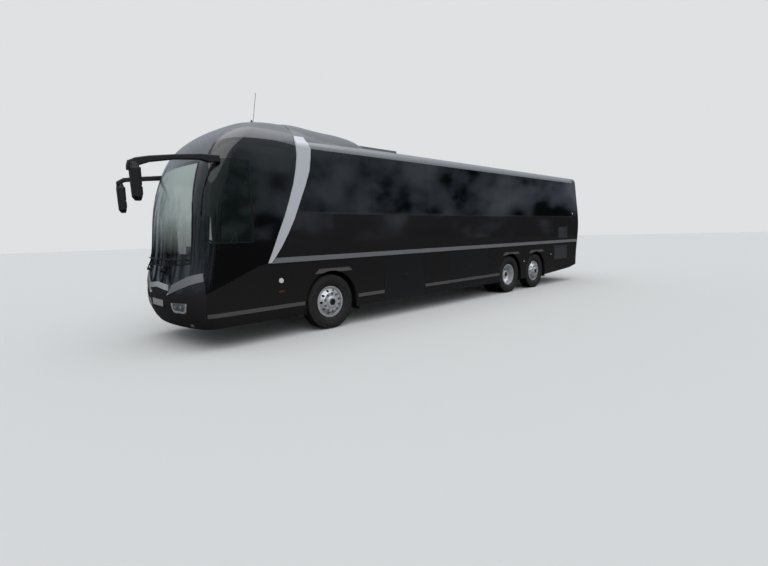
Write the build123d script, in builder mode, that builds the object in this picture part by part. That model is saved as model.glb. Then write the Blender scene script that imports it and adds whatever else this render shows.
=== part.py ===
"""Three-axle touring coach, built panel by panel on a steel underframe.

Millimetres. +X is forward, +Y is the driver's side (left), +Z is up, and Z = 0 is the ground under
the tyres. The origin lies midway between the tail and the tip of the left mirror.
"""

import os
from math import atan2, cos, pi, radians, sin, sqrt

from build123d import *

os.makedirs("parts", exist_ok=True)

# Overall sizes
FRONT_OVERHANG = 2715
WHEELBASE = 6390
TAG_SPACING = 1470
REAR_OVERHANG = 3225
BODY_WIDTH = 2550
MIRROR_REACH = 615

# Heights of the body
SILL_Z = 355
HOLD_FLOOR_Z = 500
CAB_FLOOR_Z = 1000
BELT_Z = 1335
SALOON_FLOOR_Z = 1420
LEAN_Z = 2180
GLASS_FOOT_Z = 2220
GLASS_HEAD_Z = 3330
WINDOW_FOOT_Z = 2290
WINDOW_HEAD_Z = 3260
CANT_Z = 3340
ROOF_CROWN = 60

# Walls and panels
WALL = 45
GLASS = 10
FLOOR = 40
CANT_LEAN = 32
ROOF_CORNER = 180
FRONT_BOW = 4000
REAR_BOW = 9000
REAR_CORNER = 130
CAP_LENGTH = 680
PANEL_GAP = 6
SHAFT_GAP = 0.3

# Wheels
TYRE_RADIUS = 522
TYRE_WIDTH = 295
RIM_RADIUS = 298
RIM_WIDTH = 216
BEAD_RADIUS = 284
BARREL = 12
DISC_OFFSET = 160
DISC = 16
HUB_RADIUS = 112
HUB_BORE = 45
HAND_HOLES = 10
HAND_HOLE_RADIUS = 24
HAND_HOLE_CIRCLE = 218
WHEEL_FACE_INSET = 35
DUAL_SPACING = 344
ARCH_RADIUS = 600
HOUSING_RADIUS = 690
HOUSING_INNER_Y = 540
SHEET = 6

# Axles and steering
KINGPIN_Y = 930
KINGPIN_RADIUS = 24
AXLE_EYE_RADIUS = 52
AXLE_EYE_HEIGHT = 150
LUG_RADIUS = 50
LUG = 28
BEAM_Z = (455, 545)
AXLE_TUBE_RADIUS = 75
BELLOWS_RADIUS = 85
BELLOWS_Y = 390

# Doors, flaps and lid
DOOR_HEAD_Z = 2950
MID_DOOR_HEAD_Z = 2170
DOOR_GAP = 10
DOOR_POST_Y = 1160
DOOR_POST_RADIUS = 20
DOOR_POST_INSET = 55
ARM_LENGTH = 500
ARM_ELBOW = 160
ARM_WIDTH = 40
ARM_THICKNESS = 25
PIN_RADIUS = 10
STEP_Z = 400
RISER = 20
FLAP_HEAD_Z = 1330
FLAP_HEAD_GAP = 8
HINGE_DROP = 6
FLAP_HINGE_RADIUS = 5
FLAP_HINGE_ROOT = 12
LID_HINGE_RADIUS = 5
LID_HINGE_DROP = 14
LID_HINGE_ROOT = 30
LID_HINGE_Y = 250
HINGE_PIN_RADIUS = 2.5
HINGE_EYE = 60
HINGE_LUG = 12
HINGE_GAP = 2
HINGE_CLEARANCE = 3
HINGE_INSET = 160
LID_HALF = 900
LID_FOOT_Z = 700
LID_HEAD_Z = 1900
LID_HEAD_GAP = 10
BULKHEAD = 20

# Trims and grilles
TRIM_PROUD = 12
GRILLE_FRAME = 25

# Glass panes and seats
PANES = 6
WINDOW_PILLAR = 90
SEAT_ROWS = 14
SEAT_PITCH = 790

HALF = BODY_WIDTH / 2
CANT_HALF = HALF - CANT_LEAN
LENGTH = FRONT_OVERHANG + WHEELBASE + TAG_SPACING + REAR_OVERHANG
NOSE_X = (LENGTH - MIRROR_REACH) / 2
FRONT_AXLE_X = NOSE_X - FRONT_OVERHANG
DRIVE_AXLE_X = FRONT_AXLE_X - WHEELBASE
TAG_AXLE_X = DRIVE_AXLE_X - TAG_SPACING
TAIL_X = TAG_AXLE_X - REAR_OVERHANG
JOINT_X = FRONT_AXLE_X + 620
CAP_X = TAIL_X + CAP_LENGTH
WHEEL_Y = HALF - WHEEL_FACE_INSET - TYRE_WIDTH / 2
WHEEL_Z = TYRE_RADIUS
AXLES_X = (FRONT_AXLE_X, DRIVE_AXLE_X, TAG_AXLE_X)
REACH = 3000

SIDES = (("left", 1), ("right", -1))

# Luggage flaps: name, side, rear edge and front edge, as distances ahead of the front axle
FLAPS = (
    ("fore_left", 1, -2670, -1370),
    ("fore_right", -1, -2670, -1370),
    ("aft_left", 1, -5280, -3600),
    ("aft_right", -1, -5280, -4560),
)

# Grilles of the engine bay: rear edge, front edge, foot, head and number of slats
GRILLES = (
    (-10040, -9400, 1500, 1860, 8),
    (-10050, -9120, 800, 1250, 12),
)

# Plan levels of the front end: height, set back from the nose, tuck in from the full half width
# and radius of the corners
FRONT_LEVELS = (
    (SILL_Z, 158, 41, 350),
    (620, 25, 0, 350),
    (1000, 10, 0, 350),
    (1450, 100, 0, 350),
    (LEAN_Z, 188, 0, 350),
    (2650, 285, 13, 350),
    (2950, 390, 22, 350),
    (3200, 515, 30, 350),
    (3350, 625, 45, 350),
    (3500, 785, 95, 350),
    (3650, 1025, 220, 340),
    (3770, 1385, 415, 320),
    (3840, 1715, 675, 300),
)

# Plan levels of the rear end: height, set in from the tail
REAR_LEVELS = (
    (300, 250),
    (960, 140),
    (1360, 70),
    (2000, 0),
    (2620, 100),
    (3280, 232),
    (3450, 290),
    (3620, 420),
)


def plan_level(height, back, nose, half, bow, corner):
    """Face of one plan level: flat at one end, straight sides, corner arcs and a bowed end.

    Args:
        height: Z of the level.
        back: X of the flat end.
        nose: X of the middle of the bowed end, ahead of the flat end or behind it.
        half: half the width.
        bow: radius of the bowed end.
        corner: radius of the corner arcs.
    """
    ahead = 1 if nose > back else -1
    centre_x = nose - ahead * bow
    corner_y = half - corner
    reach = sqrt((bow - corner) ** 2 - corner_y**2)
    corner_x = centre_x + ahead * reach
    turn = atan2(corner_y, reach)
    halfway = (turn + pi / 2) / 2
    touch_x = centre_x + ahead * bow * cos(turn)
    touch_y = bow * sin(turn)
    middle_x = corner_x + ahead * corner * cos(halfway)
    middle_y = corner_y + corner * sin(halfway)
    with BuildSketch(Plane.XY.offset(height)) as level:
        with BuildLine():
            Polyline((corner_x, -half), (back, -half), (back, half), (corner_x, half))
            ThreePointArc((corner_x, half), (middle_x, middle_y), (touch_x, touch_y))
            ThreePointArc((touch_x, touch_y), (nose, 0), (touch_x, -touch_y))
            ThreePointArc((touch_x, -touch_y), (middle_x, -middle_y), (corner_x, -half))
        make_face()
    return level.sketch


def front_form(inset):
    """Solid of the front end, every surface moved inwards by the inset."""
    levels = [
        plan_level(
            height - inset,
            JOINT_X,
            NOSE_X - setback - inset,
            HALF - tuck - inset,
            FRONT_BOW - inset,
            corner - inset,
        )
        for height, setback, tuck, corner in FRONT_LEVELS
    ]
    with BuildPart() as form:
        loft(sections=levels)
    return form.part


def body_section(station_x, inset, foot):
    """Face of the body's cross section, moved inwards by the inset."""
    half = HALF - inset
    cant = CANT_HALF - inset
    corner = ROOF_CORNER - inset
    edge_y = cant - corner
    edge_z = CANT_Z + corner
    bend = corner * sin(radians(45))
    with BuildSketch(Plane.YZ.offset(station_x)) as section:
        with BuildLine():
            right = ((half, foot), (half, LEAN_Z), (cant, CANT_Z))
            Polyline(*reversed(right), *[(-y, z) for y, z in right])
            ThreePointArc((-cant, CANT_Z), (-edge_y - bend, CANT_Z + bend), (-edge_y, edge_z))
            ThreePointArc((-edge_y, edge_z), (0, edge_z + ROOF_CROWN), (edge_y, edge_z))
            ThreePointArc((edge_y, edge_z), (edge_y + bend, CANT_Z + bend), (cant, CANT_Z))
        make_face()
    return section.sketch


def lean_at(height):
    """How far the side wall leans in at a height."""
    return max(0, CANT_LEAN * (height - LEAN_Z) / (CANT_Z - LEAN_Z))


def wall_panel(side, outer, inner, foot, head, back, front):
    """Length of side wall between two insets from its surface, two heights and two stations."""
    bend = [(HALF, LEAN_Z)] if foot < LEAN_Z < head else []
    line = [(HALF - lean_at(foot), foot)] + bend + [(HALF - lean_at(head), head)]
    near = [(side * (y - outer), z) for y, z in line]
    far = [(side * (y - inner), z) for y, z in line]
    with BuildPart() as panel:
        with BuildSketch(Plane.YZ.offset(back)):
            Polygon(*near, *reversed(far), align=None)
        extrude(amount=front - back)
    return panel.part


def side_prism(side, outline, inner=0, reach=REACH):
    """Side-view outline, as X and Z pairs, extruded from the inner distance out to one side."""
    with BuildPart() as prism:
        with BuildSketch(Plane.XZ.offset(-side * inner)):
            Polygon(*outline, align=None)
        extrude(amount=-side * (reach - inner))
    return prism.part


def front_prism(outline, back, reach=REACH):
    """Front-view outline, as Y and Z pairs, extruded forward from a station."""
    with BuildPart() as prism:
        with BuildSketch(Plane.YZ.offset(back)):
            Polygon(*outline, align=None)
        extrude(amount=reach)
    return prism.part


def rectangle(x_from, z_from, x_to, z_to):
    """Corner points of an upright rectangle."""
    return [(x_from, z_from), (x_to, z_from), (x_to, z_to), (x_from, z_to)]


def station(distance):
    """X of a distance ahead of the front axle."""
    return FRONT_AXLE_X + distance


def rear_form(inset):
    """Solid of the rear end, every surface moved inwards by the inset."""
    levels = [
        plan_level(
            height,
            CAP_X,
            TAIL_X + setback + inset,
            HALF - lean_at(min(height, CANT_Z)) - inset,
            REAR_BOW - inset,
            REAR_CORNER - inset,
        )
        for height, setback in REAR_LEVELS
    ]
    section = body_section(TAIL_X - REACH / 2, inset, SILL_Z - inset)
    with BuildPart() as form:
        loft(sections=levels)
        extrude(to_extrude=section, amount=REACH, mode=Mode.INTERSECT)
    return form.part


def cross_prism(outline, half_width=REACH):
    """Side-view outline, as X and Z pairs, extruded through the whole width of the body."""
    with BuildPart() as prism:
        with BuildSketch(Plane.XZ):
            Polygon(*outline, align=None)
        extrude(amount=half_width, both=True)
    return prism.part


def block(x_span, y_span, z_span):
    """Box between two stations, two distances from the centreline and two heights."""
    with BuildPart() as piece:
        with BuildSketch(Plane.XY.offset(z_span[0])):
            with Locations(((x_span[0] + x_span[1]) / 2, (y_span[0] + y_span[1]) / 2)):
                Rectangle(x_span[1] - x_span[0], y_span[1] - y_span[0])
        extrude(amount=z_span[1] - z_span[0])
    return piece.part


def both_sides(outline):
    """Front-view outline of one side, closed with its mirror image across the centreline."""
    return outline + [(-y, z) for y, z in reversed(outline) if y > 0]


def hinge(plane, radius, root):
    """Fixed lugs with their pin, the eye that turns on it, and the room that each needs in the other piece.

    Args:
        plane: plane across the hinge line in the middle of the hinge, X inwards and Y up.
        radius: outer radius of the eye and the lugs.
        root: how far in, up and down the lugs and the eye are rooted.
    """
    half_eye = HINGE_EYE / 2
    lug_starts = (half_eye + HINGE_GAP, -half_eye - HINGE_GAP - HINGE_LUG)
    foot = radius / 2
    clear = radius + HINGE_CLEARANCE
    room_x = (-clear, root + PANEL_GAP)
    with BuildPart() as lugs:
        for start in lug_starts:
            with BuildSketch(plane.offset(start)):
                Circle(radius)
                with Locations((root / 2, (foot + root) / 2)):
                    Rectangle(root, root - foot)
            extrude(amount=HINGE_LUG)
        with BuildSketch(plane.offset(lug_starts[1])):
            Circle(HINGE_PIN_RADIUS)
        extrude(amount=-2 * lug_starts[1])
    with BuildPart() as eye:
        with BuildSketch(plane.offset(-half_eye)):
            Circle(radius)
            with Locations((root / 2, -(foot + root) / 2)):
                Rectangle(root, root - foot)
            Circle(HINGE_PIN_RADIUS + SHAFT_GAP, mode=Mode.SUBTRACT)
        extrude(amount=HINGE_EYE)
    with BuildPart() as lug_room:
        for start in lug_starts:
            with BuildSketch(plane.offset(start - HINGE_GAP)):
                with Locations((sum(room_x) / 2, 0)):
                    Rectangle(room_x[1] - room_x[0], 2 * clear)
            extrude(amount=HINGE_LUG + 2 * HINGE_GAP)
    with BuildPart() as eye_room:
        with BuildSketch(plane.offset(-half_eye - HINGE_GAP)):
            with Locations((sum(room_x) / 2, 0)):
                Rectangle(room_x[1] - room_x[0], 2 * clear)
        extrude(amount=HINGE_EYE + 2 * HINGE_GAP)
    return lugs.part, eye.part, lug_room.part, eye_room.part


def flap_hinges(side, back, front):
    """Two hinges at the head of a luggage flap, on its outer face."""
    return [
        hinge(
            Plane(origin=(x, side * HALF, FLAP_HEAD_Z - HINGE_DROP), x_dir=(0, -side, 0), z_dir=(-side, 0, 0)),
            FLAP_HINGE_RADIUS,
            FLAP_HINGE_ROOT,
        )
        for x in (station(back) + HINGE_INSET, station(front) - HINGE_INSET)
    ]


def arch_cut(axle_x):
    """Cutter of a wheel arch: a half round top with upright sides down to the sill."""
    with BuildPart() as cut:
        with BuildSketch(Plane.XZ):
            with Locations((axle_x, WHEEL_Z)):
                Circle(ARCH_RADIUS)
            with Locations((axle_x, 0)):
                Rectangle(2 * ARCH_RADIUS, 2 * WHEEL_Z)
        extrude(amount=REACH, both=True)
    return cut.part


def cylinder(centre, radius, length, direction):
    """Cylinder from a centre point along a direction."""
    with BuildPart() as rod:
        with BuildSketch(Plane(origin=centre, z_dir=direction)):
            Circle(radius)
        extrude(amount=length)
    return rod.part


# Shells of the two ends
front_outer = front_form(0)
front_inner = front_form(WALL)
front_shell = front_outer - front_inner
front_skin = front_outer - front_form(GLASS)
rear_outer = rear_form(0)
rear_shell = rear_outer - rear_form(WALL)
rear_skin = rear_outer - rear_form(GLASS)

# Front end, seen from the side: the dome starts above this line, from the joint to the nose
DOME_LINE = [
    (JOINT_X, 3345),
    (station(1560), 3345),
    (station(1787), 3322),
    (station(1932), 3245),
    (station(2065), 3108),
    (station(2160), 3035),
    (station(2900), 3000),
]
CORNER_X = station(2390)
DOOR_BACK_X = station(1100)
DOOR_FRONT_X = station(2000)
DOOR_POST_X = DOOR_FRONT_X - DOOR_POST_INSET
CAB_BACK_X = station(900)
MID_DOOR_BACK_X = station(-3570)
MID_DOOR_FRONT_X = station(-2700)
MID_POST_X = MID_DOOR_BACK_X + DOOR_POST_INSET
LAST_PANE_X = station(-9610)
FACE_X = station(1500)

# Front end, seen from the front: Y and Z of one side, from the centreline outwards
BAND_TOP = [(0, 1096), (450, 1056), (588, 1068), (800, 1150), (994, 1206), (1225, 1260)]
PILLAR_BACK = [(1225, 1260), (1190, 1430), (1190, 2150), (1150, 2700), (1120, 3100)]
WINDSCREEN = [(0, 1362), (700, 1378), (1000, 1405), (985, 2160), (925, 2700), (880, 2975)]
HEADLAMP = [(530, 612), (905, 612), (985, 790), (530, 775)]
FOG_LAMP = [(840, 385), (935, 385), (935, 440), (840, 440)]

dome_region = cross_prism(DOME_LINE + [(station(2900), 4300), (JOINT_X, 4300)])
frame_region = front_prism(both_sides(BAND_TOP + PILLAR_BACK[1:]), FACE_X)
windscreen_region = front_prism(both_sides(WINDSCREEN), FACE_X)
nose_region = front_prism(rectangle(-REACH, 0, REACH, BAND_TOP[-1][1]), CORNER_X)
lamp_regions = [
    front_prism([(side * y, z) for y, z in outline], station(2200))
    for outline in (HEADLAMP, FOG_LAMP)
    for _, side in SIDES
]

with BuildPart() as roof_dome:
    add(front_shell)
    add(dome_region, mode=Mode.INTERSECT)

with BuildPart() as windscreen:
    add(front_skin)
    add(windscreen_region, mode=Mode.INTERSECT)
    add(dome_region, mode=Mode.SUBTRACT)

with BuildPart() as front_frame:
    add(front_shell)
    add(frame_region, mode=Mode.INTERSECT)
    add(windscreen_region, mode=Mode.SUBTRACT)
    add(dome_region, mode=Mode.SUBTRACT)

with BuildPart() as front_bumper:
    add(front_shell)
    add(nose_region, mode=Mode.INTERSECT)
    add(frame_region, mode=Mode.SUBTRACT)
    for region in lamp_regions:
        add(region, mode=Mode.SUBTRACT)

with BuildPart() as front_lamps:
    for region in lamp_regions:
        add(front_shell & region)

# Cab sides: dark glazed upper part over a painted quarter panel
CAB_FOOT = [
    (CORNER_X, 930),
    (station(1600), 1260),
    (station(1320), 1350),
    (station(1240), 1400),
    (station(1030), 1810),
    (station(810), GLASS_FOOT_Z),
    (JOINT_X, GLASS_FOOT_Z),
]
QUARTER = [(JOINT_X, 0), (CORNER_X, 0)] + CAB_FOOT
DRIVER_WINDOW = [
    (station(1550), 1712),
    (station(2500), 1712),
    (station(2500), 3020),
    (station(1550), 3030),
]
pieces = {}
with BuildPart() as cab_sides:
    for _, side in SIDES:
        with BuildPart(mode=Mode.PRIVATE) as cab_side:
            add(front_shell)
            add(side_prism(side, rectangle(JOINT_X, 0, station(2900), 4300)), mode=Mode.INTERSECT)
            for region in (side_prism(side, QUARTER), dome_region, frame_region, nose_region):
                add(region, mode=Mode.SUBTRACT)
            if side > 0:
                add(side_prism(side, DRIVER_WINDOW), mode=Mode.SUBTRACT)
            else:
                opening = side_prism(side, rectangle(DOOR_BACK_X, 0, DOOR_FRONT_X, DOOR_HEAD_Z))
                add(opening, mode=Mode.SUBTRACT)
                post_x = (DOOR_POST_X - 30, DOOR_POST_X + 30)
                add(block(post_x, (-HALF + 50, -DOOR_POST_Y + 25), (DOOR_HEAD_Z, DOOR_HEAD_Z + 14)))
        add(cab_side)
with BuildPart() as quarter_panels:
    for _, side in SIDES:
        with BuildPart(mode=Mode.PRIVATE) as quarter:
            add(front_shell)
            add(side_prism(side, QUARTER), mode=Mode.INTERSECT)
            for region in (nose_region, frame_region):
                add(region, mode=Mode.SUBTRACT)
            if side < 0:
                add(opening, mode=Mode.SUBTRACT)
        add(quarter)
with BuildPart() as driver_window:
    add(front_skin)
    add(side_prism(1, DRIVER_WINDOW), mode=Mode.INTERSECT)
    for region in (frame_region, dome_region):
        add(region, mode=Mode.SUBTRACT)
pieces["roof_dome"] = roof_dome.part
pieces["windscreen"] = windscreen.part
pieces["front_frame"] = front_frame.part
pieces["front_bumper"] = front_bumper.part
pieces["cab_sides"] = cab_sides.part
pieces["quarter_panels"] = quarter_panels.part
pieces["driver_window"] = driver_window.part

# Saloon walls, with the glass let into their outer face
pane_length = (JOINT_X - LAST_PANE_X) / PANES
pane_edges = [JOINT_X - pane_length * count for count in range(PANES + 1)] + [CAP_X]
arches = [arch_cut(axle_x) for axle_x in AXLES_X]
underside = cross_prism(
    [
        (TAG_AXLE_X - ARCH_RADIUS, 0),
        (TAG_AXLE_X - ARCH_RADIUS, SILL_Z + 5),
        (TAIL_X + 860, 460),
        (TAIL_X + 260, 560),
        (TAIL_X - 50, 575),
        (TAIL_X - 50, 0),
    ]
)
roof_outer = extrude(body_section(CAP_X, 0, SILL_Z), amount=JOINT_X - CAP_X)
panes = []
walls = []
for _, side in SIDES:
    band = wall_panel(side, 0, GLASS, GLASS_FOOT_Z, GLASS_HEAD_Z, CAP_X, JOINT_X)
    openings = [
        rectangle(back + WINDOW_PILLAR / 2, WINDOW_FOOT_Z, front - WINDOW_PILLAR / 2, WINDOW_HEAD_Z)
        for front, back in zip(pane_edges, pane_edges[1:])
    ]
    openings += [rectangle(station(back), foot, station(front), head) for back, front, foot, head, _ in GRILLES]
    side_flaps = [(back, front) for _, flap_side, back, front in FLAPS if flap_side == side]
    openings += [rectangle(station(back), 0, station(front), FLAP_HEAD_Z) for back, front in side_flaps]
    if side < 0:
        openings.append(rectangle(MID_DOOR_BACK_X, 0, MID_DOOR_FRONT_X, MID_DOOR_HEAD_Z))
    with BuildPart() as wall:
        add(wall_panel(side, 0, WALL, SILL_Z, CANT_Z, CAP_X, JOINT_X))
        add(band, mode=Mode.SUBTRACT)
        for outline in openings:
            add(side_prism(side, outline), mode=Mode.SUBTRACT)
        for cut in arches + [underside]:
            add(cut, mode=Mode.SUBTRACT)
        if side < 0:
            post_x = (MID_POST_X - 30, MID_POST_X + 30)
            add(block(post_x, (-HALF + WALL - 5, -DOOR_POST_Y + 25), (MID_DOOR_HEAD_Z, MID_DOOR_HEAD_Z + 14)))
        for back, front in side_flaps:
            for _, _, _, eye_room in flap_hinges(side, back, front):
                add(eye_room, mode=Mode.SUBTRACT)
    walls.append(wall.part)
    with BuildPart() as side_panes:
        add(band)
        for edge in pane_edges[1:-1]:
            joint = (edge - PANEL_GAP / 2, edge + PANEL_GAP / 2)
            add(block(joint, (-REACH, REACH), (0, 2 * REACH)), mode=Mode.SUBTRACT)
    panes.append(side_panes.part)

# Each side has a skirt below the belt, painted panels up to the glass, and window frames behind the glass
TIERS = (
    ("skirt_panels", 0, FLAP_HEAD_Z),
    ("belt_panels", FLAP_HEAD_Z, GLASS_FOOT_Z),
    ("window_frames", GLASS_FOOT_Z, CANT_Z),
)
for tier_name, foot, head in TIERS:
    with BuildPart() as tier:
        for wall in walls:
            add(wall & block((CAP_X, JOINT_X), (-REACH, REACH), (foot, head)))
        if foot == FLAP_HEAD_Z:
            for _, side, back, front in FLAPS:
                for lugs, _, _, _ in flap_hinges(side, back, front):
                    add(lugs)
    pieces[tier_name] = tier.part

# Roof
with BuildPart() as roof_panel:
    add(roof_outer)
    extrude(to_extrude=body_section(CAP_X, WALL, SILL_Z), amount=JOINT_X - CAP_X, mode=Mode.SUBTRACT)
    add(block((CAP_X, JOINT_X), (-REACH, REACH), (0, CANT_Z)), mode=Mode.SUBTRACT)
pieces["roof_panel"] = roof_panel.part


# Fairing behind the dome: distance ahead of the front axle and how far its crown has dropped there
FAIRING = ((620, 0), (0, 12), (-520, 38), (-900, 92), (-1200, 290))
FAIRING_FOOT_Z = CANT_Z + 10


def fairing_section(distance, drop, proud):
    """Section of the fairing, its crown lowered by the drop and its surface raised by the proud height."""
    crown = 3838 - drop + proud
    shoulder = 3770 - drop + proud
    waist = (1083 + proud, 3625 - drop * 0.62)
    side_y = 1228 + proud
    with BuildSketch(Plane.YZ.offset(station(distance))) as section:
        with BuildLine():
            Line((600, crown), (-600, crown))
            ThreePointArc((-600, crown), (-740, crown - 23), (-860, shoulder))
            ThreePointArc((-860, shoulder), (-waist[0], waist[1]), (-side_y, FAIRING_FOOT_Z))
            Polyline((-side_y, FAIRING_FOOT_Z), (-side_y, CANT_Z), (side_y, CANT_Z), (side_y, FAIRING_FOOT_Z))
            ThreePointArc((side_y, FAIRING_FOOT_Z), waist, (860, shoulder))
            ThreePointArc((860, shoulder), (740, crown - 23), (600, crown))
        make_face()
    return section.sketch


def fairing_form(proud):
    """Solid of the fairing down to the cant rail, its surface raised by the proud height."""
    with BuildPart() as form:
        loft(sections=[fairing_section(distance, drop, proud) for distance, drop in FAIRING])
    return form.part


with BuildPart() as roof_fairing:
    add(fairing_form(0))
    add(roof_outer, mode=Mode.SUBTRACT)
pieces["roof_fairing"] = roof_fairing.part

with BuildPart() as roof_unit:
    with BuildSketch(Plane.XY.offset(3500)):
        with Locations((station(-1830), 0)):
            RectangleRounded(1380, 1420, 120)
    extrude(amount=170, taper=12)
    add(fairing_form(SHAFT_GAP), mode=Mode.SUBTRACT)
    with BuildSketch(Plane.XY.offset(3500)):
        with Locations((station(-4800), 0), (station(-8200), 0)):
            RectangleRounded(820, 640, 60)
    extrude(amount=115)
    add(roof_outer, mode=Mode.SUBTRACT)
pieces["roof_unit"] = roof_unit.part

with BuildPart() as antenna:
    root = (station(960), 350, 3825)
    add(cylinder(root, 22, 40, (-0.16, 0, 1)))
    add(cylinder(root, 4, 600, (-0.16, 0, 1)))
    add(front_outer, mode=Mode.SUBTRACT)
pieces["antenna"] = antenna.part

# Rear end
REAR_WINDOW = [(-1010, 2330), (1010, 2330), (960, 3140), (-960, 3140)]
TAIL_LAMP = [(1010, 860), (1190, 900), (1190, 1480), (1010, 1440)]
REAR_FACE_X = TAIL_X - 100
rear_window_region = front_prism(REAR_WINDOW, REAR_FACE_X, 500)
lid_opening = front_prism(rectangle(-LID_HALF, LID_FOOT_Z, LID_HALF, LID_HEAD_Z), REAR_FACE_X, 500)
lid_edge_y = LID_HALF - PANEL_GAP
lid_outline = rectangle(-lid_edge_y, LID_FOOT_Z + PANEL_GAP, lid_edge_y, LID_HEAD_Z - LID_HEAD_GAP)
tail_lamp_regions = [
    front_prism([(side * y, z) for y, z in TAIL_LAMP], REAR_FACE_X, 420) for _, side in SIDES
]
lid_hinges = []
for y in (-LID_HINGE_Y, LID_HINGE_Y):
    at = (TAIL_X + LID_HINGE_RADIUS, y, LID_HEAD_Z - LID_HINGE_DROP)
    lid_hinges.append(hinge(Plane(origin=at, x_dir=(1, 0, 0), z_dir=(0, -1, 0)), LID_HINGE_RADIUS, LID_HINGE_ROOT))
with BuildPart() as rear_wall:
    add(rear_shell)
    for region in [rear_window_region, lid_opening, underside] + tail_lamp_regions:
        add(region, mode=Mode.SUBTRACT)
    for lugs, _, _, eye_room in lid_hinges:
        add(eye_room, mode=Mode.SUBTRACT)
        add(lugs)
with BuildPart() as engine_lid:
    add(rear_shell)
    add(front_prism(lid_outline, REAR_FACE_X, 500), mode=Mode.INTERSECT)
    for _, eye, lug_room, eye_room in lid_hinges:
        add(lug_room + eye_room, mode=Mode.SUBTRACT)
        add(eye)
with BuildPart() as rear_window:
    add(rear_skin)
    add(rear_window_region, mode=Mode.INTERSECT)
with BuildPart() as saloon_glass:
    for pane in panes:
        add(pane)
    add(rear_window)
with BuildPart() as lamps:
    add(front_lamps)
    for region in tail_lamp_regions:
        add(rear_shell & region)
pieces["rear_wall"] = rear_wall.part
pieces["engine_lid"] = engine_lid.part
pieces["saloon_glass"] = saloon_glass.part
pieces["lamps"] = lamps.part

# Blade: silver strip over the joint between cab and saloon, X ahead of the front axle and Z
BLADE = [
    (630, 3545),
    (640, 3440),
    (633, 3330),
    (636, 3170),
    (669, 2970),
    (739, 2690),
    (836, 2420),
    (961, 2110),
    (1100, 1810),
    (1210, 1560),
    (1312, 1345),
    (1250, 1345),
    (1156, 1460),
    (1044, 1610),
    (906, 1830),
    (767, 2080),
    (614, 2420),
    (489, 2690),
    (392, 2940),
    (350, 3170),
    (336, 3330),
    (378, 3440),
    (425, 3545),
]
BAND = [(0, 1096), (450, 1056), (450, 968), (0, 1010)]
EYEBROW = [(588, 1066), (994, 1206), (1207, 1257), (1220, 1127), (979, 1051), (424, 886)]
ARCH_LIP = [(-505, 1098), (-425, 1165), (270, 1172), (375, 1085)]
SILL_STRIP_Z = (543, 608)
BELT_TOP_Z = BELT_Z + 90

blade_outline = [(station(x), z) for x, z in BLADE]
trim_layer = front_form(-TRIM_PROUD) - front_outer


def wall_strip(side, foot, head, back, front):
    """Proud strip along a side wall."""
    return wall_panel(side, -TRIM_PROUD, 0, foot, head, back, front)


BLADE_BACK_X = station(300)
roof_layer = extrude(body_section(BLADE_BACK_X, -TRIM_PROUD, SILL_Z), amount=JOINT_X - BLADE_BACK_X)
roof_layer = (roof_layer + fairing_form(TRIM_PROUD)) - roof_outer - roof_fairing.part
roof_layer = roof_layer & block((BLADE_BACK_X, JOINT_X), (-REACH, REACH), (CANT_Z, 2 * REACH))
with BuildPart() as blades:
    for _, side in SIDES:
        region = side_prism(side, blade_outline)
        if side < 0:
            region = region - opening
        add(trim_layer & region)
        add(wall_strip(side, BELT_Z, CANT_Z, BLADE_BACK_X, JOINT_X) & region)
        add(roof_layer & region)
pieces["blades"] = blades.part

with BuildPart() as bright_trims:
    add(trim_layer & front_prism(both_sides(BAND), CORNER_X))
    for _, side in SIDES:
        add(trim_layer & front_prism([(side * y, z) for y, z in EYEBROW], CORNER_X))
        cab_sills = [(JOINT_X, station(2380))]
        saloon_sills = [(-5785, -5285), (-3595, -2675), (-1365, -640)]
        belt_tip = (station(1245), station(1160))
        belts = [(TAIL_X + 300, JOINT_X)]
        if side < 0:
            cab_sills = [(JOINT_X, DOOR_BACK_X - DOOR_GAP), (DOOR_FRONT_X + DOOR_GAP, station(2380))]
            saloon_sills = [(-5785, -5285), (-4555, -3580), (-1365, -640)]
            belt_tip = (DOOR_BACK_X - DOOR_GAP, DOOR_BACK_X - DOOR_GAP)
            belts = [(TAIL_X + 300, MID_DOOR_BACK_X - DOOR_GAP), (MID_DOOR_FRONT_X + DOOR_GAP, JOINT_X)]
        for back, front in cab_sills:
            add(trim_layer & side_prism(side, rectangle(back, SILL_STRIP_Z[0], front, SILL_STRIP_Z[1])))
        for back, front in saloon_sills:
            add(wall_strip(side, *SILL_STRIP_Z, station(back), station(front)))
        tip = [(JOINT_X, BELT_Z), (belt_tip[0], BELT_Z), (belt_tip[1], BELT_TOP_Z), (JOINT_X, BELT_TOP_Z)]
        add(trim_layer & side_prism(side, tip))
        for back, front in belts:
            add(wall_strip(side, BELT_Z, BELT_TOP_Z, back, front))
        for axle_x, cut in zip(AXLES_X, arches):
            lip = side_prism(side, [(axle_x + x, z) for x, z in ARCH_LIP])
            add((wall_strip(side, 1000, 1200, axle_x - 600, axle_x + 600) & lip) - cut)
pieces["bright_trims"] = bright_trims.part

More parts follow.
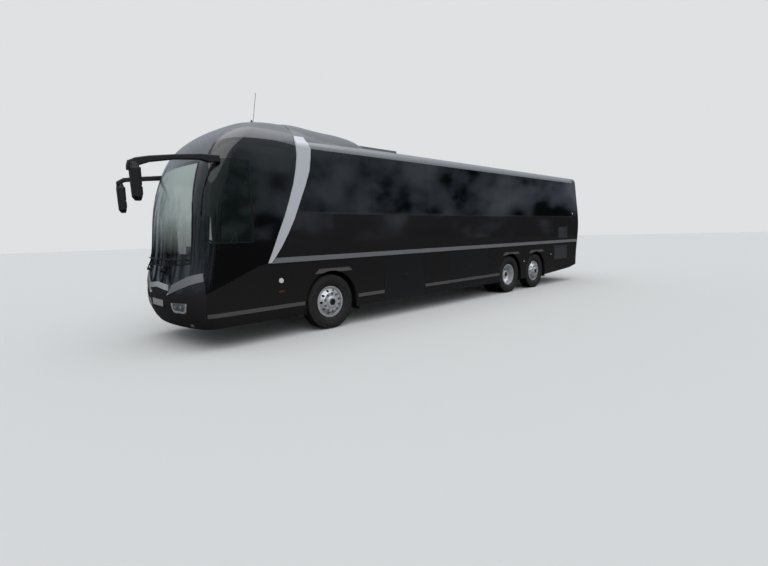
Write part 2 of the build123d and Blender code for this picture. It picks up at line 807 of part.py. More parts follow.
# Side grilles: a frame with sloped slats
SLAT = ((2, 0), (2, 8), (28, 34), (28, 26))
SLAT_END = 5
with BuildPart() as side_grilles:
    for _, side in SIDES:
        for back, front, foot, head, slats in GRILLES:
            hole_x = (station(back) + GRILLE_FRAME, station(front) - GRILLE_FRAME)
            hole_z = (foot + GRILLE_FRAME, head - GRILLE_FRAME)
            frame = wall_panel(side, 0, 30, foot, head, station(back), station(front))
            add(frame - side_prism(side, rectangle(hole_x[0], hole_z[0], hole_x[1], hole_z[1])))
            pitch = (hole_z[1] - hole_z[0] - SLAT[2][1] - 2 * SLAT_END) / (slats - 1)
            for count in range(slats):
                with BuildSketch(Plane.YZ.offset(hole_x[0] - SLAT_END)):
                    slat_foot = hole_z[0] + SLAT_END + count * pitch
                    Polygon(*[(side * (HALF - y), slat_foot + z) for y, z in SLAT], align=None)
                extrude(amount=hole_x[1] - hole_x[0] + 2 * SLAT_END)
pieces["side_grilles"] = side_grilles.part

# Luggage flaps
for name, side, back, front in FLAPS:
    flap_x = (station(back) + PANEL_GAP, station(front) - PANEL_GAP)
    with BuildPart() as flap:
        add(wall_panel(side, 0, WALL, SILL_Z, FLAP_HEAD_Z - FLAP_HEAD_GAP, *flap_x))
        if name.startswith("aft"):
            add(wall_strip(side, *SILL_STRIP_Z, *flap_x))
        for _, eye, lug_room, eye_room in flap_hinges(side, back, front):
            add(lug_room + eye_room, mode=Mode.SUBTRACT)
            add(eye)
    pieces["flap_" + name] = flap.part


def door_arm(post_x, ahead, head_z, heights):
    """Post of a door with its bent arms, closed: they reach back from the post (-1) or ahead (1)."""
    post = (post_x, -DOOR_POST_Y)
    bend_x = post_x + ahead * ARM_ELBOW * cos(radians(60))
    elbow = (bend_x, -DOOR_POST_Y + ARM_ELBOW * sin(radians(60)))
    eye = (post_x + ahead * ARM_LENGTH, -DOOR_POST_Y)
    with BuildPart() as arm:
        add(cylinder((*post, STEP_Z + SHAFT_GAP), DOOR_POST_RADIUS, head_z - STEP_Z - 2 * SHAFT_GAP, (0, 0, 1)))
        for height in heights:
            with BuildSketch(Plane.XY.offset(height)):
                for start, end in ((post, elbow), (elbow, eye)):
                    run = (end[0] - start[0], end[1] - start[1])
                    turn = atan2(run[1], run[0]) * 180 / pi
                    with Locations(((start[0] + end[0]) / 2, (start[1] + end[1]) / 2)):
                        SlotCenterToCenter(sqrt(run[0] ** 2 + run[1] ** 2), ARM_WIDTH, rotation=turn)
                with Locations(eye):
                    Circle(PIN_RADIUS + SHAFT_GAP, mode=Mode.SUBTRACT)
            extrude(amount=ARM_THICKNESS)
    return arm.part


def door_bracket(eye_x, height):
    """Plate on a door over an arm's eye, with the pin that stands in the eye."""
    foot = height + ARM_THICKNESS + SHAFT_GAP
    with BuildPart() as bracket:
        add(block((eye_x - 22, eye_x + 22), (-HALF + WALL - 5, -DOOR_POST_Y + 22), (foot, foot + 12)))
        add(cylinder((eye_x, -DOOR_POST_Y, height), PIN_RADIUS, ARM_THICKNESS + 2, (0, 0, 1)))
    return bracket.part


DOOR_ARM_HEIGHTS = (700, 1150)
MID_ARM_HEIGHTS = (700, 1350)
pieces["door_front_arm"] = door_arm(DOOR_POST_X, -1, DOOR_HEAD_Z, DOOR_ARM_HEIGHTS)
pieces["door_mid_arm"] = door_arm(MID_POST_X, 1, MID_DOOR_HEAD_Z, MID_ARM_HEIGHTS)

front_light = side_prism(-1, rectangle(DOOR_BACK_X + 90, 1250, DOOR_FRONT_X - 90, 2850))
mid_light = side_prism(-1, rectangle(MID_DOOR_BACK_X + 90, 1450, MID_DOOR_FRONT_X - 90, 2030))
door_edges = rectangle(DOOR_BACK_X + DOOR_GAP, 0, DOOR_FRONT_X - DOOR_GAP, DOOR_HEAD_Z - PANEL_GAP)
mid_door_x = (MID_DOOR_BACK_X + DOOR_GAP, MID_DOOR_FRONT_X - DOOR_GAP)
with BuildPart() as door_front:
    add(front_shell)
    add(side_prism(-1, door_edges), mode=Mode.INTERSECT)
    add(front_light, mode=Mode.SUBTRACT)
    for height in DOOR_ARM_HEIGHTS:
        add(door_bracket(DOOR_POST_X - ARM_LENGTH, height))
with BuildPart() as door_front_glass:
    add(front_skin)
    add(front_light, mode=Mode.INTERSECT)
with BuildPart() as door_mid:
    add(wall_panel(-1, 0, WALL, SILL_Z, MID_DOOR_HEAD_Z - DOOR_GAP, *mid_door_x))
    add(mid_light, mode=Mode.SUBTRACT)
    for height in MID_ARM_HEIGHTS:
        add(door_bracket(MID_POST_X + ARM_LENGTH, height))
with BuildPart() as door_mid_glass:
    add(wall_panel(-1, 0, GLASS, 1400, 2100, *mid_door_x))
    add(mid_light, mode=Mode.INTERSECT)
pieces["door_front"] = door_front.part
pieces["door_front_glass"] = door_front_glass.part
pieces["door_mid"] = door_mid.part
pieces["door_mid_glass"] = door_mid_glass.part


def stair(first_y, last_y, rise, count, x_span):
    """Flight of sheet steps that climbs inwards from a doorway on the right."""
    tread = (last_y - first_y) / count
    top = []
    for step in range(count):
        height = STEP_Z + step * rise
        top += [(first_y + step * tread, height), (first_y + (step + 1) * tread, height)]
    top.append((last_y, STEP_Z + count * rise))
    under = [(first_y, STEP_Z - FLOOR)] + [(y + RISER, z - FLOOR) for y, z in top[1:]]
    top.append((last_y + RISER, STEP_Z + count * rise))
    with BuildPart() as flight:
        with BuildSketch(Plane.YZ.offset(x_span[0])):
            Polygon(*top, *reversed(under), align=None)
        extrude(amount=x_span[1] - x_span[0])
    return flight.part


INNER_Y = HALF - WALL
FRONT_STAIR_Y = (-1180, -450)
MID_STAIR_Y = (-1222, -310)
STEP_COUNT = 3
MID_STEP_COUNT = 4
with BuildPart() as floor_panel:
    floor_x = (TAIL_X + 320, CAB_BACK_X - FLOOR)
    add(block(floor_x, (-INNER_Y, INNER_Y), (SALOON_FLOOR_Z - FLOOR, SALOON_FLOOR_Z)))
    well = (-INNER_Y - 10, MID_STAIR_Y[1] + RISER)
    add(block((MID_DOOR_BACK_X, MID_DOOR_FRONT_X), well, (0, SALOON_FLOOR_Z + 1)), mode=Mode.SUBTRACT)
    add(front_shell, mode=Mode.SUBTRACT)
with BuildPart() as cab_floor:
    add(block((CAB_BACK_X - FLOOR, CAB_BACK_X), (-INNER_Y, INNER_Y), (CAB_FLOOR_Z - FLOOR, SALOON_FLOOR_Z)))
    add(block((CAB_BACK_X, station(2230)), (-INNER_Y, INNER_Y), (CAB_FLOOR_Z - FLOOR, CAB_FLOOR_Z)))
    add(block((CAB_BACK_X, CAB_BACK_X + 270), (-300, 300), (CAB_FLOOR_Z, CAB_FLOOR_Z + 210)))
    well = (-INNER_Y - 10, FRONT_STAIR_Y[1] + RISER)
    add(block((DOOR_BACK_X, DOOR_FRONT_X), well, (0, CAB_FLOOR_Z + 1)), mode=Mode.SUBTRACT)
    add(front_shell, mode=Mode.SUBTRACT)
with BuildPart() as steps:
    rise = (CAB_FLOOR_Z - STEP_Z) / STEP_COUNT
    add(stair(*FRONT_STAIR_Y, rise, STEP_COUNT, (DOOR_BACK_X, DOOR_FRONT_X)))
    rise = (SALOON_FLOOR_Z - STEP_Z) / MID_STEP_COUNT
    add(stair(*MID_STAIR_Y, rise, MID_STEP_COUNT, (MID_DOOR_BACK_X, MID_DOOR_FRONT_X)))
pieces["floor_panel"] = floor_panel.part
pieces["cab_floor"] = cab_floor.part
pieces["steps"] = steps.part

# Luggage hold: floor, bulkheads (front edge of each, ahead of the front axle) and the beams under it
BULKHEADS = (-1346, -2674, -3578, -5282)
HOLD_HALF = 1220
HOLD_BACK, HOLD_FRONT = BULKHEADS[-1] - BULKHEAD, BULKHEADS[0]
UNDER_FLOOR_Z = SALOON_FLOOR_Z - FLOOR
UNDER_HOLD_Z = HOLD_FLOOR_Z - 20
FRAME_FOOT_Z = 400
RAIL_Y = (350, 430)
RAIL_Z = (700, 900)
with BuildPart() as hold_walls:
    hold_x = (station(HOLD_BACK), station(HOLD_FRONT))
    add(block(hold_x, (-HOLD_HALF, HOLD_HALF), (UNDER_HOLD_Z, HOLD_FLOOR_Z)))
    for front in BULKHEADS:
        wall_x = (station(front) - BULKHEAD, station(front))
        add(block(wall_x, (-HOLD_HALF, HOLD_HALF), (UNDER_HOLD_Z, UNDER_FLOOR_Z)))
    well_x = (MID_DOOR_BACK_X - 30, MID_DOOR_FRONT_X + 30)
    add(block(well_x, (-REACH, MID_STAIR_Y[1] + 60), (0, SALOON_FLOOR_Z)), mode=Mode.SUBTRACT)
    for _, side in SIDES:
        add(block(hold_x, sorted((side * RAIL_Y[0], side * RAIL_Y[1])), (FRAME_FOOT_Z, UNDER_HOLD_Z)))
    add(block((station(-3150), station(-3090)), (-RAIL_Y[0], RAIL_Y[0]), (FRAME_FOOT_Z, UNDER_HOLD_Z)))
pieces["hold_walls"] = hold_walls.part

# Underframe: X span ahead of the front axle, Y span of each side and Z span
FRAME = (
    ((HOLD_FRONT, 2230), RAIL_Y, RAIL_Z),
    ((-10585, HOLD_BACK), RAIL_Y, RAIL_Z),
    ((HOLD_FRONT, HOLD_FRONT + 30), (0, 1150), (FRAME_FOOT_Z, UNDER_FLOOR_Z)),
    ((HOLD_BACK - 30, HOLD_BACK), (0, 1150), (FRAME_FOOT_Z, UNDER_FLOOR_Z)),
    ((2170, 2230), (0, 900), (700, CAB_FLOOR_Z - FLOOR)),
    ((800, 860), (0, INNER_Y), (700, CAB_FLOOR_Z - FLOOR)),
    ((800, 860), (300, INNER_Y), (CAB_FLOOR_Z - FLOOR, UNDER_FLOOR_Z)),
    ((-860, -800), (0, INNER_Y), (700, UNDER_FLOOR_Z)),
    ((-7100, -7160), (0, 350), RAIL_Z),
    ((-8730, -8670), (0, INNER_Y), (700, UNDER_FLOOR_Z)),
    ((-10585, -10525), (0, 1000), (700, UNDER_FLOOR_Z)),
)
with BuildPart() as underframe:
    for (back, front), (inner, outer), z_span in FRAME:
        x_span = sorted((station(back), station(front)))
        add(block(x_span, (inner, outer), z_span))
        add(block(x_span, (-outer, -inner), z_span))
    add(front_shell, mode=Mode.SUBTRACT)
pieces["underframe"] = underframe.part

with BuildPart() as engine_block:
    add(block((station(-10425), station(-9225)), (-RAIL_Y[0], RAIL_Y[0]), (620, 1340)))
pieces["engine_block"] = engine_block.part

# Wheel housings: half ring, inner plate and mud flap of each arch
with BuildPart() as wheel_housings:
    for axle_x in AXLES_X:
        for _, side in SIDES:
            inner_plane = Plane.XZ.offset(-side * HOUSING_INNER_Y)
            with BuildSketch(inner_plane):
                with Locations((axle_x, WHEEL_Z)):
                    Circle(HOUSING_RADIUS + SHEET)
                    Circle(HOUSING_RADIUS, mode=Mode.SUBTRACT)
                with Locations((axle_x, 0)):
                    Rectangle(4 * HOUSING_RADIUS, 2 * WHEEL_Z, mode=Mode.SUBTRACT)
                for way in (-1, 1):
                    with Locations((axle_x + way * (HOUSING_RADIUS + SHEET / 2), (WHEEL_Z + 400) / 2)):
                        Rectangle(SHEET, WHEEL_Z - 400)
            extrude(amount=-side * (INNER_Y - HOUSING_INNER_Y))
            with BuildSketch(inner_plane):
                with Locations((axle_x, WHEEL_Z)):
                    Circle(HOUSING_RADIUS + SHEET)
                with Locations((axle_x, 0)):
                    Rectangle(4 * HOUSING_RADIUS, 2 * WHEEL_Z, mode=Mode.SUBTRACT)
                with Locations((axle_x, WHEEL_Z)):
                    Rectangle(320, 500, mode=Mode.SUBTRACT)
            extrude(amount=-side * SHEET)
            with BuildSketch(Plane.YZ.offset(axle_x - HOUSING_RADIUS - SHEET)):
                with Locations((side * 1080, 350)):
                    Rectangle(290, 120)
            extrude(amount=SHEET)
    add(front_shell, mode=Mode.SUBTRACT)
pieces["wheel_housings"] = wheel_housings.part


def wheel_plane(axle_x, centre_y, side):
    """Plane through a wheel's centre: X ahead, Y outwards along the axle."""
    return Plane(origin=(axle_x, side * centre_y, WHEEL_Z), x_dir=(1, 0, 0), z_dir=(0, 0, side))


def spin_axis(axle_x):
    """Line of an axle."""
    return Axis((axle_x, 0, WHEEL_Z), (0, 1, 0))


def tyre(axle_x, centre_y, side):
    """Tyre: bead, bulged walls, shoulders and tread band."""
    bead = RIM_WIDTH / 2 - BARREL - SHAFT_GAP
    bore = BEAD_RADIUS + SHAFT_GAP
    foot = (RIM_RADIUS + 14, bead + 16)
    shoulder = (TYRE_RADIUS - 24, TYRE_WIDTH / 2 - 14)
    tread = (TYRE_RADIUS, TYRE_WIDTH / 2 - 34)
    with BuildPart() as ring:
        with BuildSketch(wheel_plane(axle_x, centre_y, side)):
            with BuildLine():
                Polyline((bore, bead), (RIM_RADIUS, bead), foot)
                ThreePointArc(foot, (405, TYRE_WIDTH / 2), shoulder)
                Polyline(shoulder, tread, (tread[0], -tread[1]), (shoulder[0], -shoulder[1]))
                ThreePointArc((shoulder[0], -shoulder[1]), (405, -TYRE_WIDTH / 2), (foot[0], -foot[1]))
                Polyline((foot[0], -foot[1]), (RIM_RADIUS, -bead), (bore, -bead), (bore, bead))
            make_face()
        revolve(axis=spin_axis(axle_x))
    return ring.part


def rim(axle_x, centre_y, side, way):
    """Alloy wheel without its hub: barrel, flanges and a dished disc with hand holes.

    Args:
        way: 1 where the disc bows outwards, -1 where it is dished inwards.
    """
    edge = RIM_WIDTH / 2
    inner = BEAD_RADIUS - BARREL
    face = way * DISC_OFFSET
    back = face - way * DISC
    with BuildPart() as wheel:
        with BuildSketch(wheel_plane(axle_x, centre_y, side)):
            Polygon(
                (inner, -edge),
                (RIM_RADIUS, -edge),
                (RIM_RADIUS, BARREL - edge),
                (BEAD_RADIUS, BARREL - edge),
                (BEAD_RADIUS, edge - BARREL),
                (RIM_RADIUS, edge - BARREL),
                (RIM_RADIUS, edge),
                (inner, edge),
                align=None,
            )
            Polygon(
                (inner + 1, way * 46),
                (inner + 1, way * 66),
                (188, face),
                (60, face),
                (60, back),
                (180, back),
                align=None,
            )
        revolve(axis=spin_axis(axle_x))
        with BuildSketch(Plane(origin=(axle_x, side * centre_y, WHEEL_Z), x_dir=(1, 0, 0), z_dir=(0, side, 0))):
            with PolarLocations(HAND_HOLE_CIRCLE, HAND_HOLES):
                Circle(HAND_HOLE_RADIUS)
        extrude(amount=way * RIM_WIDTH, mode=Mode.SUBTRACT)
    return wheel.part


def hub(axle_x, side, inner_y, flange_y, outer_y, neck):
    """Hub with a blind bore for the spindle: a neck inside, a flange under the disc and a cap outside."""
    bore = HUB_BORE + SHAFT_GAP
    with BuildPart() as piece:
        with BuildSketch(wheel_plane(axle_x, 0, side)):
            Polygon(
                (0, outer_y),
                (HUB_RADIUS * 0.8, outer_y),
                (HUB_RADIUS, outer_y - 12),
                (HUB_RADIUS, flange_y),
                (neck, flange_y),
                (neck, inner_y),
                (bore, inner_y),
                (bore, outer_y - 18),
                (0, outer_y - 18),
                align=None,
            )
        revolve(axis=spin_axis(axle_x))
    return piece.part


SINGLE_HUB_Y = (WHEEL_Y - 60, WHEEL_Y + DISC_OFFSET - DISC, WHEEL_Y + DISC_OFFSET + 20)
TWIN_Y = WHEEL_Y - DUAL_SPACING
TWIN_HUB_Y = (TWIN_Y + 52, TWIN_Y + DISC_OFFSET - DISC, WHEEL_Y + 30)
for name, side in SIDES:
    for axle_name, axle_x in (("front", FRONT_AXLE_X), ("tag", TAG_AXLE_X)):
        pieces[f"tyre_{axle_name}_{name}"] = tyre(axle_x, WHEEL_Y, side)
        pieces[f"rim_{axle_name}_{name}"] = rim(axle_x, WHEEL_Y, side, 1) + hub(axle_x, side, *SINGLE_HUB_Y, 78)
    with BuildPart() as twin_tyres:
        add(tyre(DRIVE_AXLE_X, WHEEL_Y, side))
        add(tyre(DRIVE_AXLE_X, TWIN_Y, side))
    with BuildPart() as twin_rims:
        add(rim(DRIVE_AXLE_X, WHEEL_Y, side, -1))
        add(rim(DRIVE_AXLE_X, TWIN_Y, side, 1))
        add(hub(DRIVE_AXLE_X, side, *TWIN_HUB_Y, 78))
    pieces["tyre_drive_" + name] = twin_tyres.part
    pieces["rim_drive_" + name] = twin_rims.part

# Knuckles: yoke round the eye of the front axle, kingpin and spindle
EYE_Z = (WHEEL_Z - AXLE_EYE_HEIGHT / 2, WHEEL_Z + AXLE_EYE_HEIGHT / 2)
YOKE_Z = (EYE_Z[0] - SHAFT_GAP - LUG, EYE_Z[1] + SHAFT_GAP + LUG)
SPINDLE_END_Y = SINGLE_HUB_Y[2] - 20
for name, side in SIDES:
    web_y = sorted((side * (KINGPIN_Y + 60), side * (KINGPIN_Y + 96)))
    lug_y = sorted((side * KINGPIN_Y, side * (KINGPIN_Y + 96)))
    with BuildPart() as knuckle:
        for lug_z in ((YOKE_Z[0], YOKE_Z[0] + LUG), (YOKE_Z[1] - LUG, YOKE_Z[1])):
            add(cylinder((FRONT_AXLE_X, side * KINGPIN_Y, lug_z[0]), LUG_RADIUS, LUG, (0, 0, 1)))
            add(block((FRONT_AXLE_X - 45, FRONT_AXLE_X + 45), lug_y, lug_z))
        add(block((FRONT_AXLE_X - 45, FRONT_AXLE_X + 45), web_y, YOKE_Z))
        height = YOKE_Z[1] - YOKE_Z[0]
        add(cylinder((FRONT_AXLE_X, side * KINGPIN_Y, YOKE_Z[0]), KINGPIN_RADIUS, height, (0, 0, 1)))
        root_y = KINGPIN_Y + 80
        add(cylinder((FRONT_AXLE_X, side * root_y, WHEEL_Z), HUB_BORE, SPINDLE_END_Y - root_y, (0, side, 0)))
    pieces["knuckle_" + name] = knuckle.part

# Axles with the air bellows that carry the frame on them
with BuildPart() as front_axle:
    add(block((FRONT_AXLE_X - 40, FRONT_AXLE_X + 40), (40 - KINGPIN_Y, KINGPIN_Y - 40), BEAM_Z))
    for _, side in SIDES:
        add(cylinder((FRONT_AXLE_X, side * KINGPIN_Y, EYE_Z[0]), AXLE_EYE_RADIUS, AXLE_EYE_HEIGHT, (0, 0, 1)))
        bellows = RAIL_Z[0] - BEAM_Z[1] + 10
        add(cylinder((FRONT_AXLE_X, side * BELLOWS_Y, BEAM_Z[1] - 10), BELLOWS_RADIUS, bellows, (0, 0, 1)))
        bore = cylinder(
            (FRONT_AXLE_X, side * KINGPIN_Y, 0), KINGPIN_RADIUS + SHAFT_GAP, 2 * WHEEL_Z, (0, 0, 1)
        )
        add(bore, mode=Mode.SUBTRACT)
pieces["front_axle"] = front_axle.part

# Rear axles: X, half length of the tube and of the spindles
REAR_AXLES = (
    (DRIVE_AXLE_X, TWIN_HUB_Y[0] - 10, TWIN_HUB_Y[2] - 20),
    (TAG_AXLE_X, SINGLE_HUB_Y[0] - 10, SINGLE_HUB_Y[2] - 20),
)
with BuildPart() as rear_axles:
    for axle_x, tube, spindle in REAR_AXLES:
        add(cylinder((axle_x, -tube, WHEEL_Z), AXLE_TUBE_RADIUS, 2 * tube, (0, 1, 0)))
        add(cylinder((axle_x, -spindle, WHEEL_Z), HUB_BORE, 2 * spindle, (0, 1, 0)))
        for _, side in SIDES:
            foot = WHEEL_Z + AXLE_TUBE_RADIUS - 20
            add(cylinder((axle_x, side * BELLOWS_Y, foot), BELLOWS_RADIUS - 15, RAIL_Z[0] - foot, (0, 0, 1)))
    add(cylinder((DRIVE_AXLE_X, -130, WHEEL_Z), 190, 260, (0, 1, 0)))
pieces["rear_axles"] = rear_axles.part

# Mirrors: arms seen from the side, X ahead of the front axle and Z, and the span of each head
LEFT_ARM = [
    (2030, 2950),
    (2200, 2935),
    (2330, 2965),
    (2690, 2935),
    (3030, 2870),
    (3170, 2815),
    (3210, 2740),
    (FRONT_OVERHANG + MIRROR_REACH, 2740),
    (FRONT_OVERHANG + MIRROR_REACH, 2800),
    (3310, 2870),
    (3220, 2915),
    (3050, 2955),
    (2690, 3010),
    (2320, 3055),
    (2030, 3060),
]
RIGHT_ARM = [
    (2030, 2950),
    (2120, 2935),
    (2420, 2905),
    (2740, 2870),
    (2890, 2800),
    (2890, 2870),
    (2780, 2940),
    (2450, 2985),
    (2030, 3035),
]
MIRROR_ARM_Y = (1200, 1275)
MIRROR_ROUND = 16

# Mirror heads: share of the height, offset ahead, length, width and corner radius of each section
HEAD = (
    (0, -14, 70, 100, 30),
    (0.1, -6, 114, 168, 44),
    (0.82, 2, 120, 180, 44),
    (1, 8, 84, 130, 36),
)
HEAD_Y = 1285
MIRRORS = (
    (1, LEFT_ARM, 3245, (2330, 2850)),
    (-1, RIGHT_ARM, 2820, (2310, 2850)),
)
with BuildPart() as mirrors:
    for side, outline, head_x, (foot, top) in MIRRORS:
        with BuildPart(mode=Mode.PRIVATE) as arm:
            add(side_prism(side, [(station(x), z) for x, z in outline], *MIRROR_ARM_Y))
            fillet(arm.faces().filter_by(Axis.Y).edges(), MIRROR_ROUND)
        with BuildPart(mode=Mode.PRIVATE) as mirror:
            for share, offset, length, width, corner in HEAD:
                with BuildSketch(Plane.XY.offset(foot + share * (top - foot))):
                    with Locations((station(head_x + offset), side * HEAD_Y)):
                        RectangleRounded(length, width, corner)
            loft(ruled=True)
            add(arm)
            add(front_outer, mode=Mode.SUBTRACT)
        add(mirror)
pieces["mirrors"] = mirrors.part

# Cab fittings
DASHBOARD = [(2050, 1000), (2220, 1000), (2400, 1330), (2360, 1480), (2100, 1520), (2000, 1450), (2030, 1300)]
with BuildPart() as dashboard:
    add(side_prism(1, [(station(x), z) for x, z in DASHBOARD], -560, 1000))
pieces["dashboard"] = dashboard.part

STEERING_CENTRE = (station(1960), 700, 1660)
COLUMN = (0.62, 0, -1)
with BuildPart() as steering_wheel:
    wheel_frame = Plane(origin=STEERING_CENTRE, x_dir=(0, 1, 0), z_dir=COLUMN)
    with Locations(wheel_frame):
        Torus(225, 16)
    with BuildSketch(wheel_frame.offset(-6)):
        Rectangle(440, 40)
        Rectangle(40, 440)
        Circle(60)
    extrude(amount=14)
    add(cylinder(STEERING_CENTRE, 35, 300, COLUMN))
    add(dashboard, mode=Mode.SUBTRACT)
pieces["steering_wheel"] = steering_wheel.part

SEAT_CUSHION = [(20, 400), (500, 400), (510, 440), (490, 500), (20, 470), (-60, 1150), (-180, 1150), (-90, 400)]
with BuildPart() as driver_seat:
    foot = rectangle(station(1250), CAB_FLOOR_Z, station(1550), CAB_FLOOR_Z + 360)
    add(side_prism(1, foot, 550, 850))
    add(side_prism(1, [(station(1200) + x, CAB_FLOOR_Z + z - 40) for x, z in SEAT_CUSHION], 450, 950))
pieces["driver_seat"] = driver_seat.part

with BuildPart() as passenger_seats:
    for count in range(SEAT_ROWS):
        back_x = station(-250) - count * SEAT_PITCH
        for _, side in SIDES:
            if side < 0 and back_x - 180 < MID_DOOR_FRONT_X and back_x + 510 > MID_DOOR_BACK_X:
                continue
            foot = rectangle(back_x + 60, SALOON_FLOOR_Z, back_x + 400, SALOON_FLOOR_Z + 400)
            add(side_prism(side, foot, 500, 1000))
            add(side_prism(side, [(back_x + x, SALOON_FLOOR_Z + z) for x, z in SEAT_CUSHION], 310, 1190))
pieces["passenger_seats"] = passenger_seats.part

for name, piece in pieces.items():
    piece.label = name
    export_step(piece, f"parts/{name}.step")
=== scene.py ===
"""Looks of the three-axle touring coach: finishes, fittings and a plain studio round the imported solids."""

import logging
import math
from collections.abc import Sequence
from dataclasses import dataclass
from enum import Enum

import bmesh
import bpy
from bmesh.types import BMesh
from bpy.types import Node, NodeSocket, NodeTree, Object
from mathutils import Matrix, Vector
from mathutils.bvhtree import BVHTree


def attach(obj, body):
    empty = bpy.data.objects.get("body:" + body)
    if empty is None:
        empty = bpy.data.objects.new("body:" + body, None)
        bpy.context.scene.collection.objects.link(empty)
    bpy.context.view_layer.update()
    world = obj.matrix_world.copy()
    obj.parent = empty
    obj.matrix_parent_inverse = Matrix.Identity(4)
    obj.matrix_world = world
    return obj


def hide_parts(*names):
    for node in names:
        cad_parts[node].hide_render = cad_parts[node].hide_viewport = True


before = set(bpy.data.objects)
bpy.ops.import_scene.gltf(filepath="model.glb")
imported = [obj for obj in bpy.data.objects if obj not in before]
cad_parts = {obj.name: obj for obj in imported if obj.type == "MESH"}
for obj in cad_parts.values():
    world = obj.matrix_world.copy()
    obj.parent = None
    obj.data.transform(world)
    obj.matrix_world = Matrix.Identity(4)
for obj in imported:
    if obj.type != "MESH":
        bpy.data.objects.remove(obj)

LOG = logging.getLogger("coach")
BODY = "coach_body"
FRONT_AXLE_X = 3.8775
# Places along the vehicle are metres ahead of the front axle, negative behind it.
AXLES = {"front": 0.0, "drive": -6.39, "tag": -7.86}
SEAT_PITCH = 0.79
CAB_FLOOR_Z = 1.0
SALOON_FLOOR_Z = 1.42
FRONT_ENTRANCE = (1.1, 2.0)
MIDDLE_ENTRANCE = (-3.57, -2.7)
FAR = 9.0  # beyond nose and tail, where rays and boxes start
WIDE = 2.0  # beyond both sides
COAT_ROUGHNESS = 0.04
RIBBON_DEPTH = 0.002
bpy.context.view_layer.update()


def ahead(distance: float) -> float:
    """X of a distance in metres ahead of the front axle."""
    return FRONT_AXLE_X + distance


def linear(code: str) -> tuple[float, float, float, float]:
    """Turn an sRGB hex colour into linear RGBA.

    Args:
        code: six hex digits, with or without a leading #.

    Returns:
        Linear red, green, blue and an alpha of 1.
    """
    parts = [int(code.lstrip("#")[i : i + 2], 16) / 255 for i in (0, 2, 4)]
    return (*[c / 12.92 if c <= 0.04045 else ((c + 0.055) / 1.055) ** 2.4 for c in parts], 1.0)


class Graph:
    """A node tree under construction."""

    def __init__(self, tree: NodeTree) -> None:
        """Start with the nodes that the tree has."""
        self.tree = tree

    def add(self, kind: str, inputs: dict | None = None, **settings) -> Node:
        """Add a node, set its properties and fill or link its inputs.

        Args:
            kind: the node's type name.
            inputs: value or output socket for each input, by name or number.
            **settings: properties of the node itself.

        Returns:
            The new node.
        """
        node = self.tree.nodes.new(kind)
        for key, value in settings.items():
            setattr(node, key, value)
        for key, value in (inputs or {}).items():
            self.feed(node, key, value)
        return node

    def feed(self, node: Node, key: str | int, value) -> None:
        """Link an output socket to an input, or give the input a value."""
        if isinstance(value, NodeSocket):
            self.tree.links.new(value, node.inputs[key])
        else:
            node.inputs[key].default_value = value

    def ranged(self, value: NodeSocket, low: float, high: float, start=0.0, end=1.0) -> NodeSocket:
        """Map a value between `start` and `end` to one between `low` and `high`."""
        inputs = {"Value": value, "From Min": start, "From Max": end, "To Min": low, "To Max": high}
        return self.add("ShaderNodeMapRange", inputs).outputs[0]

    def combined(self, operation: str, *values) -> NodeSocket:
        """Combine values by an operation of the maths node."""
        return self.add("ShaderNodeMath", dict(enumerate(values)), operation=operation).outputs[0]

    def split(self, at: NodeSocket) -> dict:
        """X, Y and Z of a place or direction."""
        return self.add("ShaderNodeSeparateXYZ", {0: at}).outputs


class Canvas(Graph):
    """The node tree of a material, on which a finish draws its pattern."""

    def __init__(self, made: bpy.types.Material, colour: str, roughness: float) -> None:
        """Find the shader and the place of each point in metres."""
        super().__init__(made.node_tree)
        self.shader = self.tree.nodes["Principled BSDF"]
        self.colour = colour
        self.roughness = roughness
        self.at = self.add("ShaderNodeTexCoord").outputs["Object"]

    def noise(self, size: float, stretch=(1, 1, 1)) -> NodeSocket:
        """Noise whose grains are about `size` metres wide, stretched along the axes."""
        scaled = self.add("ShaderNodeMapping", {"Vector": self.at, "Scale": [s / size for s in stretch]})
        inputs = {"Vector": scaled.outputs[0], "Scale": 1.0, "Detail": 3.0}
        return self.add("ShaderNodeTexNoise", inputs).outputs[0]

    def spread(self, value: NodeSocket, low: float, high: float) -> NodeSocket:
        """Map noise between a third and two thirds to a range."""
        return self.ranged(value, low, high, 0.33, 0.67)

    def roughen(self, cloud: NodeSocket, less: float, more: float) -> None:
        """Let noise vary the roughness about the finish's own."""
        matt = self.spread(cloud, self.roughness + less, self.roughness + more)
        self.feed(self.shader, "Roughness", matt)

    def tint(self, factor: NodeSocket, other: str) -> None:
        """Blend the base colour towards another by a factor."""
        mix = self.add("ShaderNodeMix", {0: factor}, data_type="RGBA")
        colours = {"A": linear(self.colour), "B": linear(other)}
        for socket in mix.inputs:
            if socket.type == "RGBA":
                socket.default_value = colours[socket.name]
        self.feed(self.shader, "Base Color", next(socket for socket in mix.outputs if socket.type == "RGBA"))

    def bump(self, height: NodeSocket, depth: float) -> None:
        """Raise the surface by a height of up to `depth` metres."""
        node = self.add("ShaderNodeBump", {"Height": height, "Distance": depth, "Strength": 0.6})
        self.feed(self.shader, "Normal", node.outputs[0])


